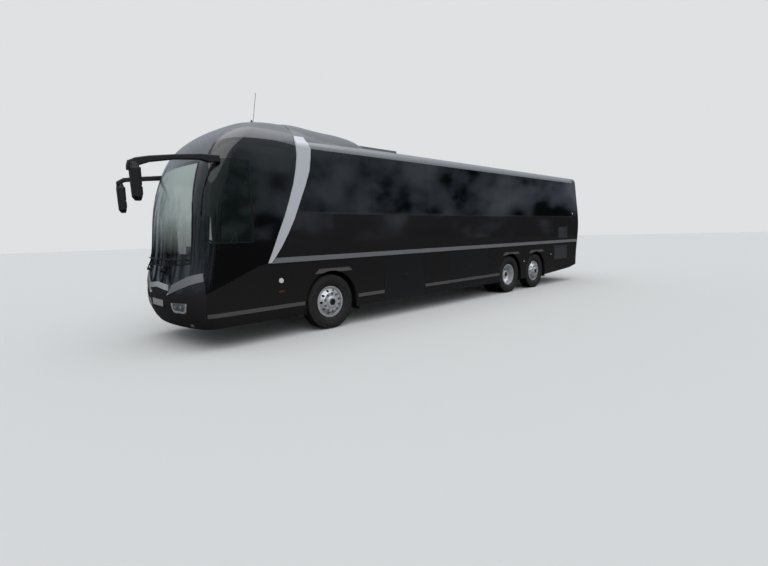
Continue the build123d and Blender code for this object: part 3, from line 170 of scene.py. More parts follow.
@dataclass(frozen=True)
class Finish:
    """A finish: what the surface is made of and how it was made."""

    name: str
    colour: str
    roughness: float = 0.4
    metallic: float = 0.0
    coat: float = 0.0
    alpha: float = 1.0

    def material(self) -> bpy.types.Material:
        """Return the finish's material, made once."""
        found = bpy.data.materials.get(self.name)
        if found:
            return found
        made = bpy.data.materials.new(self.name)
        made.use_nodes = True
        canvas = Canvas(made, self.colour, self.roughness)
        values = {"Base Color": linear(self.colour), "Roughness": self.roughness, "Metallic": self.metallic}
        values |= {"Coat Weight": self.coat, "Coat Roughness": COAT_ROUGHNESS, "Alpha": self.alpha}
        for socket, value in values.items():
            canvas.feed(canvas.shader, socket, value)
        self.pattern(canvas)
        return made

    def pattern(self, on: Canvas) -> None:
        """Draw the finish's own grain."""


class GlossPaint(Finish):
    """Sprayed and clear-coated paint: a deep, nearly mirror-like coat with a faint road film low down."""

    FILM_ENDS = (0.35, 1.1)  # heights between which the road film fades

    def waviness(self, on: Canvas) -> None:
        """Slow waviness of the sheet metal."""
        on.bump(on.noise(0.35), 0.0006)

    def pattern(self, on: Canvas) -> None:
        """Faint film of dust that thickens towards the sill, and the waviness."""
        film = on.ranged(on.split(on.at)["Z"], 0.12, 0.01, *self.FILM_ENDS)
        dust = on.combined("MULTIPLY", film, on.spread(on.noise(0.03), 0.6, 1.0))
        on.tint(dust, "#4a4643")
        on.feed(on.shader, "Roughness", on.ranged(dust, self.roughness, 0.42, 0.0, 0.5))
        self.waviness(on)


class MaskedPaint(GlossPaint):
    """Two paints sprayed over a mask: the black of the cab reaches up to a curve under the dome."""

    # place along the vehicle and height of points on the edge of the black
    EDGE = ((0.6, 3.36), (1.12, 3.41), (1.49, 3.397), (1.8, 3.365), (1.97, 3.306), (2.07, 3.187))
    EDGE += ((2.15, 3.024), (2.2, 2.9))
    FOOT, RISE = 2.9, 0.6  # height of the curve's frame above the ground and from foot to head

    def pattern(self, on: Canvas) -> None:
        """Black and glossy below the curve, the roof's own grey above it."""
        place = on.split(on.at)
        back, front = self.EDGE[0][0], self.EDGE[-1][0]
        share = on.ranged(place["X"], 0.0, 1.0, ahead(back), ahead(front))
        curve = on.add("ShaderNodeFloatCurve", {"Value": share})
        line = curve.mapping.curves[0]
        spots = [((x - back) / (front - back), (z - self.FOOT) / self.RISE) for x, z in self.EDGE]
        line.points[0].location, line.points[1].location = spots[0], spots[-1]
        for spot in spots[1:-1]:
            line.points.new(*spot)
        curve.mapping.update()
        edge = on.ranged(curve.outputs[0], self.FOOT, self.FOOT + self.RISE)
        below = on.combined("LESS_THAN", place["Z"], edge)
        on.tint(below, "#050506")
        for socket, grey, black in (("Roughness", self.roughness, 0.08), ("Metallic", self.metallic, 0.0)):
            on.feed(on.shader, socket, on.ranged(below, grey, black))
        self.waviness(on)


class GrainedPlastic(Finish):
    """Injection-moulded plastic with a leather-like grain, drawn at 3 mm so that it shows."""

    def pattern(self, on: Canvas) -> None:
        """Grain cells and a slight change of gloss."""
        cells = on.add("ShaderNodeTexVoronoi", {"Vector": on.at, "Scale": 1 / 0.003})
        on.bump(cells.outputs["Distance"], 0.0003)
        on.roughen(on.noise(0.05), -0.06, 0.08)


class BrushedMetal(Finish):
    """Rolled or brushed metal: fine streaks along the length of the vehicle."""

    def pattern(self, on: Canvas) -> None:
        """Streaks in gloss and height, 200 mm long and 1.5 mm wide."""
        streaks = on.noise(0.0015, (0.008, 1, 1))
        on.roughen(streaks, -0.07, 0.1)
        on.bump(streaks, 0.00005)


class PolishedAlloy(Finish):
    """Forged and polished wheel alloy with brake dust in patches."""

    def pattern(self, on: Canvas) -> None:
        """Cloudy dust that dulls the polish."""
        cloud = on.noise(0.06)
        on.roughen(cloud, 0.0, 0.16)
        on.tint(on.spread(cloud, 0.0, 0.35), "#8f9196")


class Rubber(Finish):
    """Vulcanised rubber, matt and greyed by road dust."""

    def pattern(self, on: Canvas) -> None:
        """Dust in the hollows and a fine pitted skin."""
        on.tint(on.spread(on.noise(0.04), 0.0, 0.5), "#3b3936")
        on.bump(on.noise(0.004), 0.0004)


class PlainRubber(Finish):
    """Extruded rubber, clean and matt."""

    def pattern(self, on: Canvas) -> None:
        """Slightly uneven gloss along the lip."""
        on.roughen(on.noise(0.02), -0.05, 0.1)


class ClearGlass(Finish):
    """Float glass; thin panes let light through straight, so they are see-through without bending it."""

    def pattern(self, on: Canvas) -> None:
        """Slow waviness of the pane, which bends reflections a little."""
        on.bump(on.noise(0.5), 0.0004)


class SkyReflectionGlass(ClearGlass):
    """Laminated windscreen, dark at the foot, with a painted sky reflection that makes it paler green and
    less see-through towards the top.
    """

    FILM_ENDS = (1.55, 2.15)  # heights between which the painted sky reflection fades in

    def pattern(self, on: Canvas) -> None:
        """Dark at the foot; above the line of sight a painted sky reflection, pale green and less
        see-through; with the waviness of float glass.
        """
        super().pattern(on)
        # the pale tint and lower clearness towards the top are a painted sky reflection
        share = on.ranged(on.split(on.at)["Z"], 0.0, 1.0, *self.FILM_ENDS)
        on.tint(share, "#c9d8d1")
        on.feed(on.shader, "Alpha", on.ranged(share, self.alpha, 0.66))


class WovenCloth(Finish):
    """Flat-woven wool plush of coach seats: ribs of 12 mm with a lighter fleck."""

    def pattern(self, on: Canvas) -> None:
        """Ribs across the cloth and a fleck every few threads."""
        ribs = on.add("ShaderNodeTexWave", {"Vector": on.at, "Scale": 1 / 0.012, "Distortion": 0.4})
        ribs.bands_direction = "DIAGONAL"
        on.tint(on.spread(on.noise(0.01), 0.0, 0.8), "#55627f")
        on.bump(ribs.outputs["Fac"], 0.0008)


class RoughCast(Finish):
    """Cast or stove-painted metal under the vehicle: uneven, with dried mud."""

    def pattern(self, on: Canvas) -> None:
        """Coarse skin and mud in patches."""
        on.tint(on.spread(on.noise(0.09), 0.0, 0.7), "#3a3631")
        on.bump(on.noise(0.008), 0.001)


class StudioFloor(Finish):
    """Plain pale floor of the studio, which mirrors and lights the vehicle only as much as a road does."""

    def pattern(self, on: Canvas) -> None:
        """Dark for every ray but the camera's own, and without gloss."""
        on.feed(on.shader, "Specular IOR Level", 0.0)
        direct = on.add("ShaderNodeLightPath").outputs["Is Camera Ray"]
        on.tint(on.combined("SUBTRACT", 1.0, direct), "#2c2c2d")


BODY_PAINT = GlossPaint("graphite_clearcoat_paint", "#1f1d1e", 0.16, coat=1.0)
ROOF_PAINT = GlossPaint("grey_roof_clearcoat_paint", "#5f6165", 0.28, metallic=0.25, coat=0.6)
# pale grey on the roof shoulder cove is a painted sky reflection; the cove itself is body colour
ROOF_EDGE_REFLECTION = GlossPaint("pale_roof_rail_paint", "#8f9195", 0.3, metallic=0.3, coat=0.5)
FLAP_PAINT = GlossPaint("blue_black_clearcoat_paint", "#1e1f22", 0.18, coat=1.0)
DOME_PAINT = MaskedPaint("grey_and_black_dome_paint", "#5f6165", 0.28, metallic=0.25, coat=0.6)
CAB_PAINT = GlossPaint("black_piano_clearcoat", "#050506", 0.08, coat=1.0)
NOSE_PAINT = GlossPaint("graphite_bumper_paint", "#222123", 0.25, coat=0.7)
SILVER = GlossPaint("silver_metallic_paint", "#d3d6dc", 0.36, metallic=0.15, coat=0.4)
TRIM = BrushedMetal("satin_anodised_aluminium", "#858689", 0.36, metallic=0.3)
DULL_TRIM = BrushedMetal("dull_aluminium_strip", "#5f5e5d", 0.45, metallic=0.2)
CHROME = PolishedAlloy("chromed_brass", "#d4d6d9", 0.12, metallic=0.3)
ALLOY = PolishedAlloy("polished_forged_alloy", "#dcdee2", 0.2, metallic=0.4)
NUTS = PolishedAlloy("zinc_plated_steel", "#a3a5a8", 0.3, metallic=1.0)
TYRES = Rubber("vulcanised_tyre_rubber", "#161616", 0.78)
GASKET = PlainRubber("extruded_window_rubber", "#08080a", 0.7)
# windscreen glass with a painted sky reflection on its upper part
SCREEN = SkyReflectionGlass("laminated_shaded_glass", "#161c1a", 0.02, alpha=0.42, coat=1.0)
SIDE_GLASS = ClearGlass("toughened_clear_glass", "#1f2a27", 0.02, alpha=0.34, coat=1.0)
TINTED = ClearGlass("tinted_toughened_glass", "#07090b", 0.03, alpha=0.93, coat=1.0)
MIRROR = PolishedAlloy("silvered_mirror_glass", "#c3c9cc", 0.02, metallic=1.0)
PLASTIC = GrainedPlastic("moulded_black_plastic", "#1b1b1d", 0.5)
GRILLE = GrainedPlastic("moulded_grey_grille", "#3f4043", 0.35)
DASH = GrainedPlastic("moulded_dark_grey_plastic", "#2b2c2f", 0.55)
LENS = ClearGlass("smoked_lamp_lens", "#858a8e", 0.06, metallic=0.4, coat=1.0)
RED_LENS = ClearGlass("red_lamp_lens", "#7a0c10", 0.1, coat=1.0)
AMBER_LENS = ClearGlass("amber_lamp_lens", "#5a2f10", 0.15, coat=1.0)
WHITE_LENS = ClearGlass("white_lamp_lens", "#dcdedd", 0.12, coat=1.0)
STEEL = RoughCast("stove_painted_chassis_steel", "#19191b", 0.5)
IRON = RoughCast("cast_iron", "#3a3a3c", 0.55, metallic=0.4)
FLOORING = GrainedPlastic("vinyl_floor_covering", "#3a3a3d", 0.6)
CLOTH = WovenCloth("woven_wool_plush", "#2a3145", 0.9)
LINING = GrainedPlastic("grey_trim_lining", "#8b8c8c", 0.8)
PLATE = GrainedPlastic("blank_plate_sheet", "#a5a6a5", 0.35)

NODE_FINISHES: tuple[tuple[Finish, str], ...] = (
    (DOME_PAINT, "roof_dome"),
    (ROOF_PAINT, "roof_fairing roof_panel roof_unit"),
    (CAB_PAINT, "front_frame cab_sides door_front window_frames"),
    (NOSE_PAINT, "front_bumper"),
    (BODY_PAINT, "quarter_panels skirt_panels belt_panels rear_wall engine_lid door_mid"),
    (FLAP_PAINT, "flap_fore_left flap_fore_right flap_aft_left flap_aft_right"),
    (SCREEN, "windscreen"),
    (SIDE_GLASS, "driver_window door_front_glass"),
    (TINTED, "saloon_glass door_mid_glass"),
    (SILVER, "blades"),
    (TRIM, "bright_trims"),
    (GRILLE, "side_grilles"),
    (LENS, "lamps"),
    (PLASTIC, "antenna mirrors steering_wheel"),
    (DASH, "dashboard"),
    (FLOORING, "floor_panel cab_floor steps hold_walls"),
    (STEEL, "underframe wheel_housings front_axle rear_axles"),
    (STEEL, "knuckle_left knuckle_right door_front_arm door_mid_arm"),
    (IRON, "engine_block"),
    (CLOTH, "driver_seat passenger_seats"),
    (ALLOY, "rim_front_left rim_front_right rim_drive_left"),
    (ALLOY, "rim_drive_right rim_tag_left rim_tag_right"),
)


class Side(Enum):
    """Left or right of the vehicle, with the sign of Y there."""

    LEFT = 1
    RIGHT = -1

    @property
    def label(self) -> str:
        """Lower-case name used in node and body names."""
        return self.name.lower()


def from_bmesh(name: str, mesh: BMesh, finish: Finish, smooth: bool = False) -> Object:
    """Turn a bmesh into a shown object with one finish.

    Args:
        name: name of the piece.
        mesh: the bmesh, freed here.
        finish: its finish.
        smooth: whether faces shade smooth.

    Returns:
        The object, linked to the scene.
    """
    bmesh.ops.remove_doubles(mesh, verts=mesh.verts, dist=1e-6)
    bmesh.ops.recalc_face_normals(mesh, faces=mesh.faces)
    data = bpy.data.meshes.new(name)
    mesh.to_mesh(data)
    mesh.free()
    data.materials.append(finish.material())
    for polygon in data.polygons:
        polygon.use_smooth = smooth
    piece = bpy.data.objects.new(name, data)
    bpy.context.scene.collection.objects.link(piece)
    return piece


def bake(piece: Object) -> None:
    """Turn a piece and its modifiers into a plain mesh."""
    bpy.context.view_layer.update()
    graph = bpy.context.evaluated_depsgraph_get()
    data = bpy.data.meshes.new_from_object(piece.evaluated_get(graph))
    piece.modifiers.clear()
    piece.data = data


@dataclass(frozen=True)
class Repeat:
    """Copies of a piece round an axle or along a line, made by Geometry Nodes.

    Attributes:
        count: number of copies.
        step: turn in radians or shift in metres from copy to copy.
        centre: where the origin of the first copy comes.
        around: True to turn the copies about Y through the origin, False to shift them.
    """

    count: int
    step: tuple
    centre: tuple
    around: bool = False

    def tree(self) -> NodeTree:
        """Return the tree with the inputs Count, Step, Centre and Finish, built once for each kind."""
        name = "copies_round_axle" if self.around else "copies_along_line"
        found = bpy.data.node_groups.get(name)
        if found:
            return found
        tree = bpy.data.node_groups.new(name, "GeometryNodeTree")
        kinds = {"Geometry": "Geometry", "Count": "Int", "Step": "Vector", "Centre": "Vector"}
        for label, kind in (kinds | {"Finish": "Material"}).items():
            tree.interface.new_socket(label, in_out="INPUT", socket_type=f"NodeSocket{kind}")
        tree.interface.new_socket("Geometry", in_out="OUTPUT", socket_type="NodeSocketGeometry")
        graph = Graph(tree)
        given = graph.add("NodeGroupInput").outputs
        inputs = {0: given["Step"], "Scale": graph.add("GeometryNodeInputIndex").outputs[0]}
        steps = graph.add("ShaderNodeVectorMath", inputs, operation="SCALE").outputs[0]
        points, placing = {"Count": given["Count"]}, {"Instance": given["Geometry"]}
        if self.around:
            placing["Rotation"] = steps
        else:
            points["Position"] = steps
        placing["Points"] = graph.add("GeometryNodePoints", points).outputs[0]
        copies = graph.add("GeometryNodeInstanceOnPoints", placing).outputs[0]
        moved = graph.add("GeometryNodeTransform", {"Geometry": copies, "Translation": given["Centre"]})
        real = graph.add("GeometryNodeRealizeInstances", {"Geometry": moved.outputs[0]}).outputs[0]
        dressed = graph.add("GeometryNodeSetMaterial", {"Geometry": real, "Material": given["Finish"]})
        graph.add("NodeGroupOutput", {0: dressed.outputs[0]})
        return tree

    def apply(self, piece: Object) -> None:
        """Copy a piece's mesh and keep the result as its plain mesh."""
        modifier = piece.modifiers.new("copies", "NODES")
        modifier.node_group = self.tree()
        values = {"Count": self.count, "Step": self.step, "Centre": self.centre}
        values["Finish"] = piece.data.materials[0]
        for item in modifier.node_group.interface.items_tree:
            if item.in_out == "INPUT" and item.name in values:
                modifier[item.identifier] = values[item.name]
        bake(piece)


def settle(piece: Object, body: str) -> None:
    """Let a piece ride on a body and report it."""
    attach(piece, body)
    LOG.info("%s rides on %s, %d faces", piece.name, body, len(piece.data.polygons))


def fit(
    name: str, mesh: BMesh, finish: Finish, body: str = BODY, copies: Repeat | None = None
) -> None:
    """Turn a bmesh into a piece of one finish, copied if asked, that rides on a body."""
    piece = from_bmesh(name, mesh, finish)
    if copies:
        copies.apply(piece)
    settle(piece, body)


def add_box(mesh: BMesh, low: Sequence, high: Sequence, bevel: float = 0.0) -> None:
    """Add a box between two opposite corners, its edges rounded by a bevel."""
    size = [abs(b - a) for a, b in zip(low, high)]
    matrix = Matrix.Translation((Vector(high) + Vector(low)) / 2) @ Matrix.Diagonal((*size, 1))
    made = bmesh.ops.create_cube(mesh, size=1.0, matrix=matrix)
    if bevel:
        edges = {edge for vert in made["verts"] for edge in vert.link_edges}
        bmesh.ops.bevel(mesh, geom=list(edges), offset=bevel, segments=2, affect="EDGES", profile=0.5)


def add_rod(mesh: BMesh, start: Sequence, end: Sequence, radius: float, sides: int = 12) -> None:
    """Add a round rod between two points."""
    start, end = Vector(start), Vector(end)
    turn = (end - start).to_track_quat("Z", "Y").to_matrix().to_4x4()
    matrix = Matrix.Translation((start + end) / 2) @ turn
    shape = {"radius1": radius, "radius2": radius, "depth": (end - start).length}
    bmesh.ops.create_cone(mesh, cap_ends=True, segments=sides, matrix=matrix, **shape)


def add_loops(mesh: BMesh, loops: list, closed: bool) -> None:
    """Skin loops of equally many points one after the other.

    Args:
        mesh: the bmesh that gets the faces.
        loops: the loops of points, in order.
        closed: True to join the last loop to the first, False to cap both ends.
    """
    rings = [[mesh.verts.new(point) for point in loop] for loop in loops]
    followers = rings[1:] + (rings[:1] if closed else [])
    for ring, after in zip(rings, followers):
        for i in range(len(ring)):
            mesh.faces.new([ring[i - 1], ring[i], after[i], after[i - 1]])
    if not closed:
        mesh.faces.new(rings[0])
        mesh.faces.new(list(reversed(rings[-1])))


def add_lathe(mesh: BMesh, profile: list, centre: Vector, side: int, segments: int) -> None:
    """Add a closed profile of radius and outward distance, turned about a wheel's axle.

    Args:
        mesh: the bmesh that gets it.
        profile: pairs of radius and distance outwards from the centre, in metres, as a closed loop.
        centre: centre of the wheel.
        side: sign of Y that is outwards.
        segments: steps round the axle.
    """
    rings = []
    for step in range(segments):
        angle = 2 * math.pi * step / segments
        c, s = math.cos(angle), math.sin(angle)
        rings.append([centre + Vector((radius * c, side * out, radius * s)) for radius, out in profile])
    add_loops(mesh, rings, closed=True)


def add_prism(mesh: BMesh, outline: list, axis: int, low: float, high: float) -> None:
    """Add an outline, given as pairs of the two other coordinates, extruded along an axis."""
    ends = [[(*pair[:axis], level, *pair[axis:]) for pair in outline] for level in (low, high)]
    add_loops(mesh, ends, closed=False)


class Skin:
    """Outer surface of some CAD nodes, on which flat fittings and seals are laid."""

    def __init__(self, *nodes: str) -> None:
        """Read the surface of the named nodes."""
        corners, faces = [], []
        for node in nodes:
            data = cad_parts[node].data
            start = len(corners)
            corners += [vertex.co.copy() for vertex in data.vertices]
            faces += [[start + i for i in polygon.vertices] for polygon in data.polygons]
        self.tree = BVHTree.FromPolygons(corners, faces)

    def hit(self, start: Sequence, along: Sequence) -> tuple[Vector, Vector] | None:
        """Return the point and outward normal where a ray meets the surface."""
        point, normal, _, _ = self.tree.ray_cast(Vector(start), Vector(along))
        if point is None:
            return None
        return point, (normal if normal.dot(Vector(along)) < 0 else -normal)

    def from_front(self, y: float, z: float) -> tuple[Vector, Vector] | None:
        """Surface seen from ahead."""
        return self.hit((FAR, y, z), (-1, 0, 0))

    def from_rear(self, y: float, z: float) -> tuple[Vector, Vector] | None:
        """Surface seen from behind."""
        return self.hit((-FAR, y, z), (1, 0, 0))

    def from_above(self, x: float, y: float) -> tuple[Vector, Vector] | None:
        """Surface seen from above."""
        return self.hit((x, y, 5.0), (0, 0, -1))

    def from_side(self, x: float, z: float, side: int) -> tuple[Vector, Vector] | None:
        """Surface seen from the left or right."""
        return self.hit((x, side * 3.0, z), (0, -side, 0))


def add_stud(mesh: BMesh, found: tuple, low: float, high: float, radius: float, sides: int = 12) -> None:
    """Add a round stud to a surface, from `low` to `high` along its normal."""
    point, normal = found
    add_rod(mesh, point + normal * low, point + normal * high, radius, sides)


def add_ribbon(mesh: BMesh, hits: list, width: float, proud: float, closed: bool = False) -> None:
    """Add a flat strip that follows points on a surface.

    Args:
        mesh: the bmesh that gets it.
        hits: pairs of point and normal, in order.
        width: width of the strip.
        proud: how far it stands out of the surface.
        closed: whether the last point joins the first.
    """
    hits = [found for found in hits if found]
    count = len(hits)
    sections = []
    for i, (point, normal) in enumerate(hits):
        before = hits[(i - 1) % count][0] if closed or i else point
        after = hits[(i + 1) % count][0] if closed or i < count - 1 else point
        across = normal.cross((after - before).normalized()).normalized() * width / 2
        foot, head = point - normal * RIBBON_DEPTH, point + normal * proud
        sections.append((foot - across, foot + across, head + across, head - across))
    add_loops(mesh, sections, closed)


def along_line(points: list, pitch: float = 0.08) -> list:
    """Points every `pitch` or less along a chain of two-number points."""
    filled = []
    for (a, b), (c, d) in zip(points, points[1:]):
        steps = max(1, math.ceil(math.hypot(c - a, d - b) / pitch))
        filled += [(a + (c - a) * i / steps, b + (d - b) * i / steps) for i in range(steps)]
    return filled + [points[-1]]


def oblong(left: float, right: float, low: float, high: float) -> list:
    """Corners of an upright rectangle."""
    return [(left, low), (right, low), (right, high), (left, high)]


def rounded(outline: list, radius: float, steps: int = 4) -> list:
    """Outline with its corners rounded."""
    result = []
    count = len(outline)
    for i in range(count):
        corner = Vector(outline[i])
        to_last = (Vector(outline[i - 1]) - corner).normalized() * radius
        to_next = (Vector(outline[(i + 1) % count]) - corner).normalized() * radius
        for k in range(steps + 1):
            t = k / steps
            bend = (1 - t) ** 2 * (corner + to_last) + 2 * t * (1 - t) * corner + t**2 * (corner + to_next)
            result.append(tuple(bend))
    return result


@dataclass
class Wheels:
    """Tyres with ribbed tread, wheel nuts and hub caps."""

    tyre_radius: float = 0.522
    half_width: float = 0.1475
    bead_radius: float = 0.2843
    groove: float = 0.012
    wheel_y: float = 1.0925
    twin_y: float = 0.7485
    nut_circle: float = 0.1675
    nut_count: int = 10
    lug_count: int = 64
    # radius, inner and outer end beyond the disc's face and sides of washer, nut and stud
    nut: tuple = ((0.021, -0.002, 0.004, 20), (0.017, 0.004, 0.024, 6), (0.011, 0.024, 0.036, 12))

    def round_axle(self, count: int, distance: float) -> Repeat:
        """Copies spaced evenly round a wheel."""
        centre = (ahead(distance), 0.0, self.tyre_radius)
        return Repeat(count, (0.0, 2 * math.pi / count, 0.0), centre, around=True)

    def tyre_profile(self) -> list:
        """Closed profile with four tread grooves and raised rings on the walls."""
        r, w = self.tyre_radius, self.half_width
        floor = r - self.groove
        half = [(self.bead_radius, 0.0), (self.bead_radius, 0.0955), (0.299, 0.0955), (0.302, 0.106)]
        half += [(0.306, 0.112), (0.325, 0.122), (0.345, 0.131), (0.352, 0.137), (0.358, 0.1375)]
        half += [(0.362, 0.1365), (0.385, 0.1455), (0.41, w), (0.432, w - 0.0012), (0.436, w + 0.0005)]
        half += [(0.44, w + 0.0005), (0.444, w - 0.003), (0.47, 0.142), (0.49, 0.1375), (0.497, 0.137)]
        half += [(0.503, 0.134), (0.512, 0.127)]
        tread = [(r - 0.003, 0.118), (r, 0.108), (r, 0.083), (floor, 0.081), (floor, 0.071), (r, 0.069)]
        tread += [(r, 0.03), (floor, 0.028), (floor, 0.018), (r, 0.016)]
        outer = half[1:] + tread
        return [half[0]] + outer + [(radius, -out) for radius, out in reversed(outer)]

    def build(self) -> None:
        """Make and dress the wheels of all axles."""
        for axle, distance in AXLES.items():
            for side in Side:
                body = f"wheel_{axle}_{side.label}"
                centres = [self.wheel_y] + ([self.twin_y] if axle == "drive" else [])
                self.tyres(axle, side, distance, centres, body)
                self.nuts(axle, side, distance, body)

    def tyres(self, axle: str, side: Side, distance: float, centres: list, body: str) -> None:
        """Ribbed tyres of one wheel, in place of the plain solids, with lugs round both shoulders."""
        mesh, lugs = bmesh.new(), bmesh.new()
        for y in centres:
            centre = Vector((ahead(distance), side.value * y, self.tyre_radius))
            add_lathe(mesh, self.tyre_profile(), centre, side.value, 96)
        piece = from_bmesh(f"tread_{axle}_{side.label}", mesh, TYRES, smooth=True)
        piece.data.set_sharp_from_angle(angle=math.radians(35))
        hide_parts(f"tyre_{axle}_{side.label}")
        settle(piece, body)
        for y in centres:
            for way in (-1, 1):
                inner, outer = (side.value * y + way * reach for reach in (0.112, 0.1395))
                add_box(lugs, (-0.009, inner, 0.484), (0.009, outer, 0.516), 0.002)
        copies = self.round_axle(self.lug_count, distance)
        fit(f"shoulder_lugs_{axle}_{side.label}", lugs, TYRES, body, copies)

    def nuts(self, axle: str, side: Side, distance: float, body: str) -> None:
        """Wheel nuts on the disc, with their washers."""
        face = self.wheel_y + 0.16 if axle != "drive" else self.wheel_y - 0.144
        mesh = bmesh.new()
        for radius, start, end, sides in self.nut:
            low, high = ((0, side.value * (face + reach), self.nut_circle) for reach in (start, end))
            add_rod(mesh, low, high, radius, sides)
        copies = self.round_axle(self.nut_count, distance)
        fit(f"wheel_nuts_{axle}_{side.label}", mesh, NUTS, body, copies)
        cap = bmesh.new()
        reach = face + 0.02 if axle != "drive" else self.wheel_y + 0.03
        top, foot = reach + 0.012, reach - 0.004
        profile = [(0.0, top), (0.052, top), (0.062, reach + 0.006), (0.064, foot), (0.0, foot)]
        centre = Vector((ahead(distance), 0, self.tyre_radius))
        add_lathe(cap, profile, centre, side.value, 48)
        piece = from_bmesh(f"hub_cap_{axle}_{side.label}", cap, PLASTIC, smooth=True)
        piece.data.set_sharp_from_angle(angle=math.radians(30))
        settle(piece, body)


@dataclass
class Seats:
    """Double seats of the saloon and the driver's seat, as soft forms over the plain solids."""

    rows: int = 14
    first_back: float = -0.25
    width: float = 0.43
    gap_rows: tuple = (3, 4)

    def cushions(self, mesh: BMesh, y: float) -> None:
        """One seat's cushion, back and headrest about a Y, with the foot of the back at the origin."""
        half = self.width / 2
        cushion = [(0.0, 0.38), (0.47, 0.4), (0.5, 0.44), (0.47, 0.495), (0.25, 0.485), (0.02, 0.475)]
        back = [(0.03, 0.42), (0.02, 0.6), (0.0, 0.8), (-0.05, 0.98), (-0.12, 0.97), (-0.1, 0.7)]
        back += [(-0.07, 0.4)]
        head = [(-0.05, 0.99), (-0.06, 1.07), (-0.09, 1.14), (-0.16, 1.14), (-0.165, 1.05), (-0.12, 0.98)]
        for outline, shrink in ((cushion, 0.006), (back, 0.012), (head, 0.05)):
            add_prism(mesh, outline, 1, y - half + shrink, y + half - shrink)

    def soften(self, piece: Object) -> Object:
        """Round a seat's blocks into upholstered forms."""
        bevel = piece.modifiers.new("seam", "BEVEL")
        bevel.width = 0.018
        bevel.segments = 2
        rounding = piece.modifiers.new("crown", "SUBSURF")
        rounding.levels = rounding.render_levels = 1
        bake(piece)
        for polygon in piece.data.polygons:
            polygon.use_smooth = True
        return piece

    def build(self) -> None:
        """Make the rows of both sides and the driver's seat."""
        spans = {Side.LEFT: [(0, self.rows)]}
        spans[Side.RIGHT] = [(0, self.gap_rows[0]), (self.gap_rows[1] + 1, self.rows)]
        made = []
        for side, runs in spans.items():
            for number, (first, end) in enumerate(runs):
                mesh = bmesh.new()
                for y in (0.53, 0.97):
                    self.cushions(mesh, side.value * y)
                piece = self.soften(from_bmesh(f"seats_{side.label}_{number}", mesh, CLOTH))
                start = (ahead(self.first_back) - first * SEAT_PITCH, 0.0, SALOON_FLOOR_Z)
                row = Repeat(end - first, (-SEAT_PITCH, 0.0, 0.0), start)
                row.apply(piece)
                made.append(piece)
                self.legs(f"seat_legs_{side.label}_{number}", side, row)
        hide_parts("passenger_seats")
        for piece in made:
            settle(piece, BODY)
        self.driver()

    def legs(self, name: str, side: Side, row: Repeat) -> None:
        """Seat frames: a beam under each pair with a leg at the aisle."""
        mesh = bmesh.new()
        for y in (0.36, 1.14):
            near, far = side.value * y - 0.02, side.value * y + 0.02
            add_box(mesh, (0.06, near, 0.0), (0.1, far, 0.38), 0.004)
            add_box(mesh, (0.34, near, 0.0), (0.38, far, 0.38), 0.004)
        add_box(mesh, (0.03, side.value * 0.32, 0.35), (0.42, side.value * 1.18, 0.385), 0.005)
        fit(name, mesh, STEEL, copies=row)

    def driver(self) -> None:
        """Driver's seat on its sprung pedestal."""
        mesh = bmesh.new()
        self.cushions(mesh, 0.0)
        piece = self.soften(from_bmesh("driver_cushions", mesh, CLOTH))
        shift = Matrix.Translation((ahead(1.2), 0.7, 0.96)) @ Matrix.Diagonal((1, 1.14, 1, 1))
        piece.data.transform(shift)
        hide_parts("driver_seat")
        settle(piece, BODY)
        mesh = bmesh.new()
        add_box(mesh, (ahead(1.25), 0.55, 1.0), (ahead(1.58), 0.85, 1.08), 0.01)
        for level in range(5):
            low = 1.08 + level * 0.05
            add_box(mesh, (ahead(1.29), 0.58, low), (ahead(1.54), 0.82, low + 0.042), 0.018)
        add_box(mesh, (ahead(1.24), 0.5, 1.32), (ahead(1.62), 0.9, 1.36), 0.01)
        fit("driver_pedestal", mesh, PLASTIC)


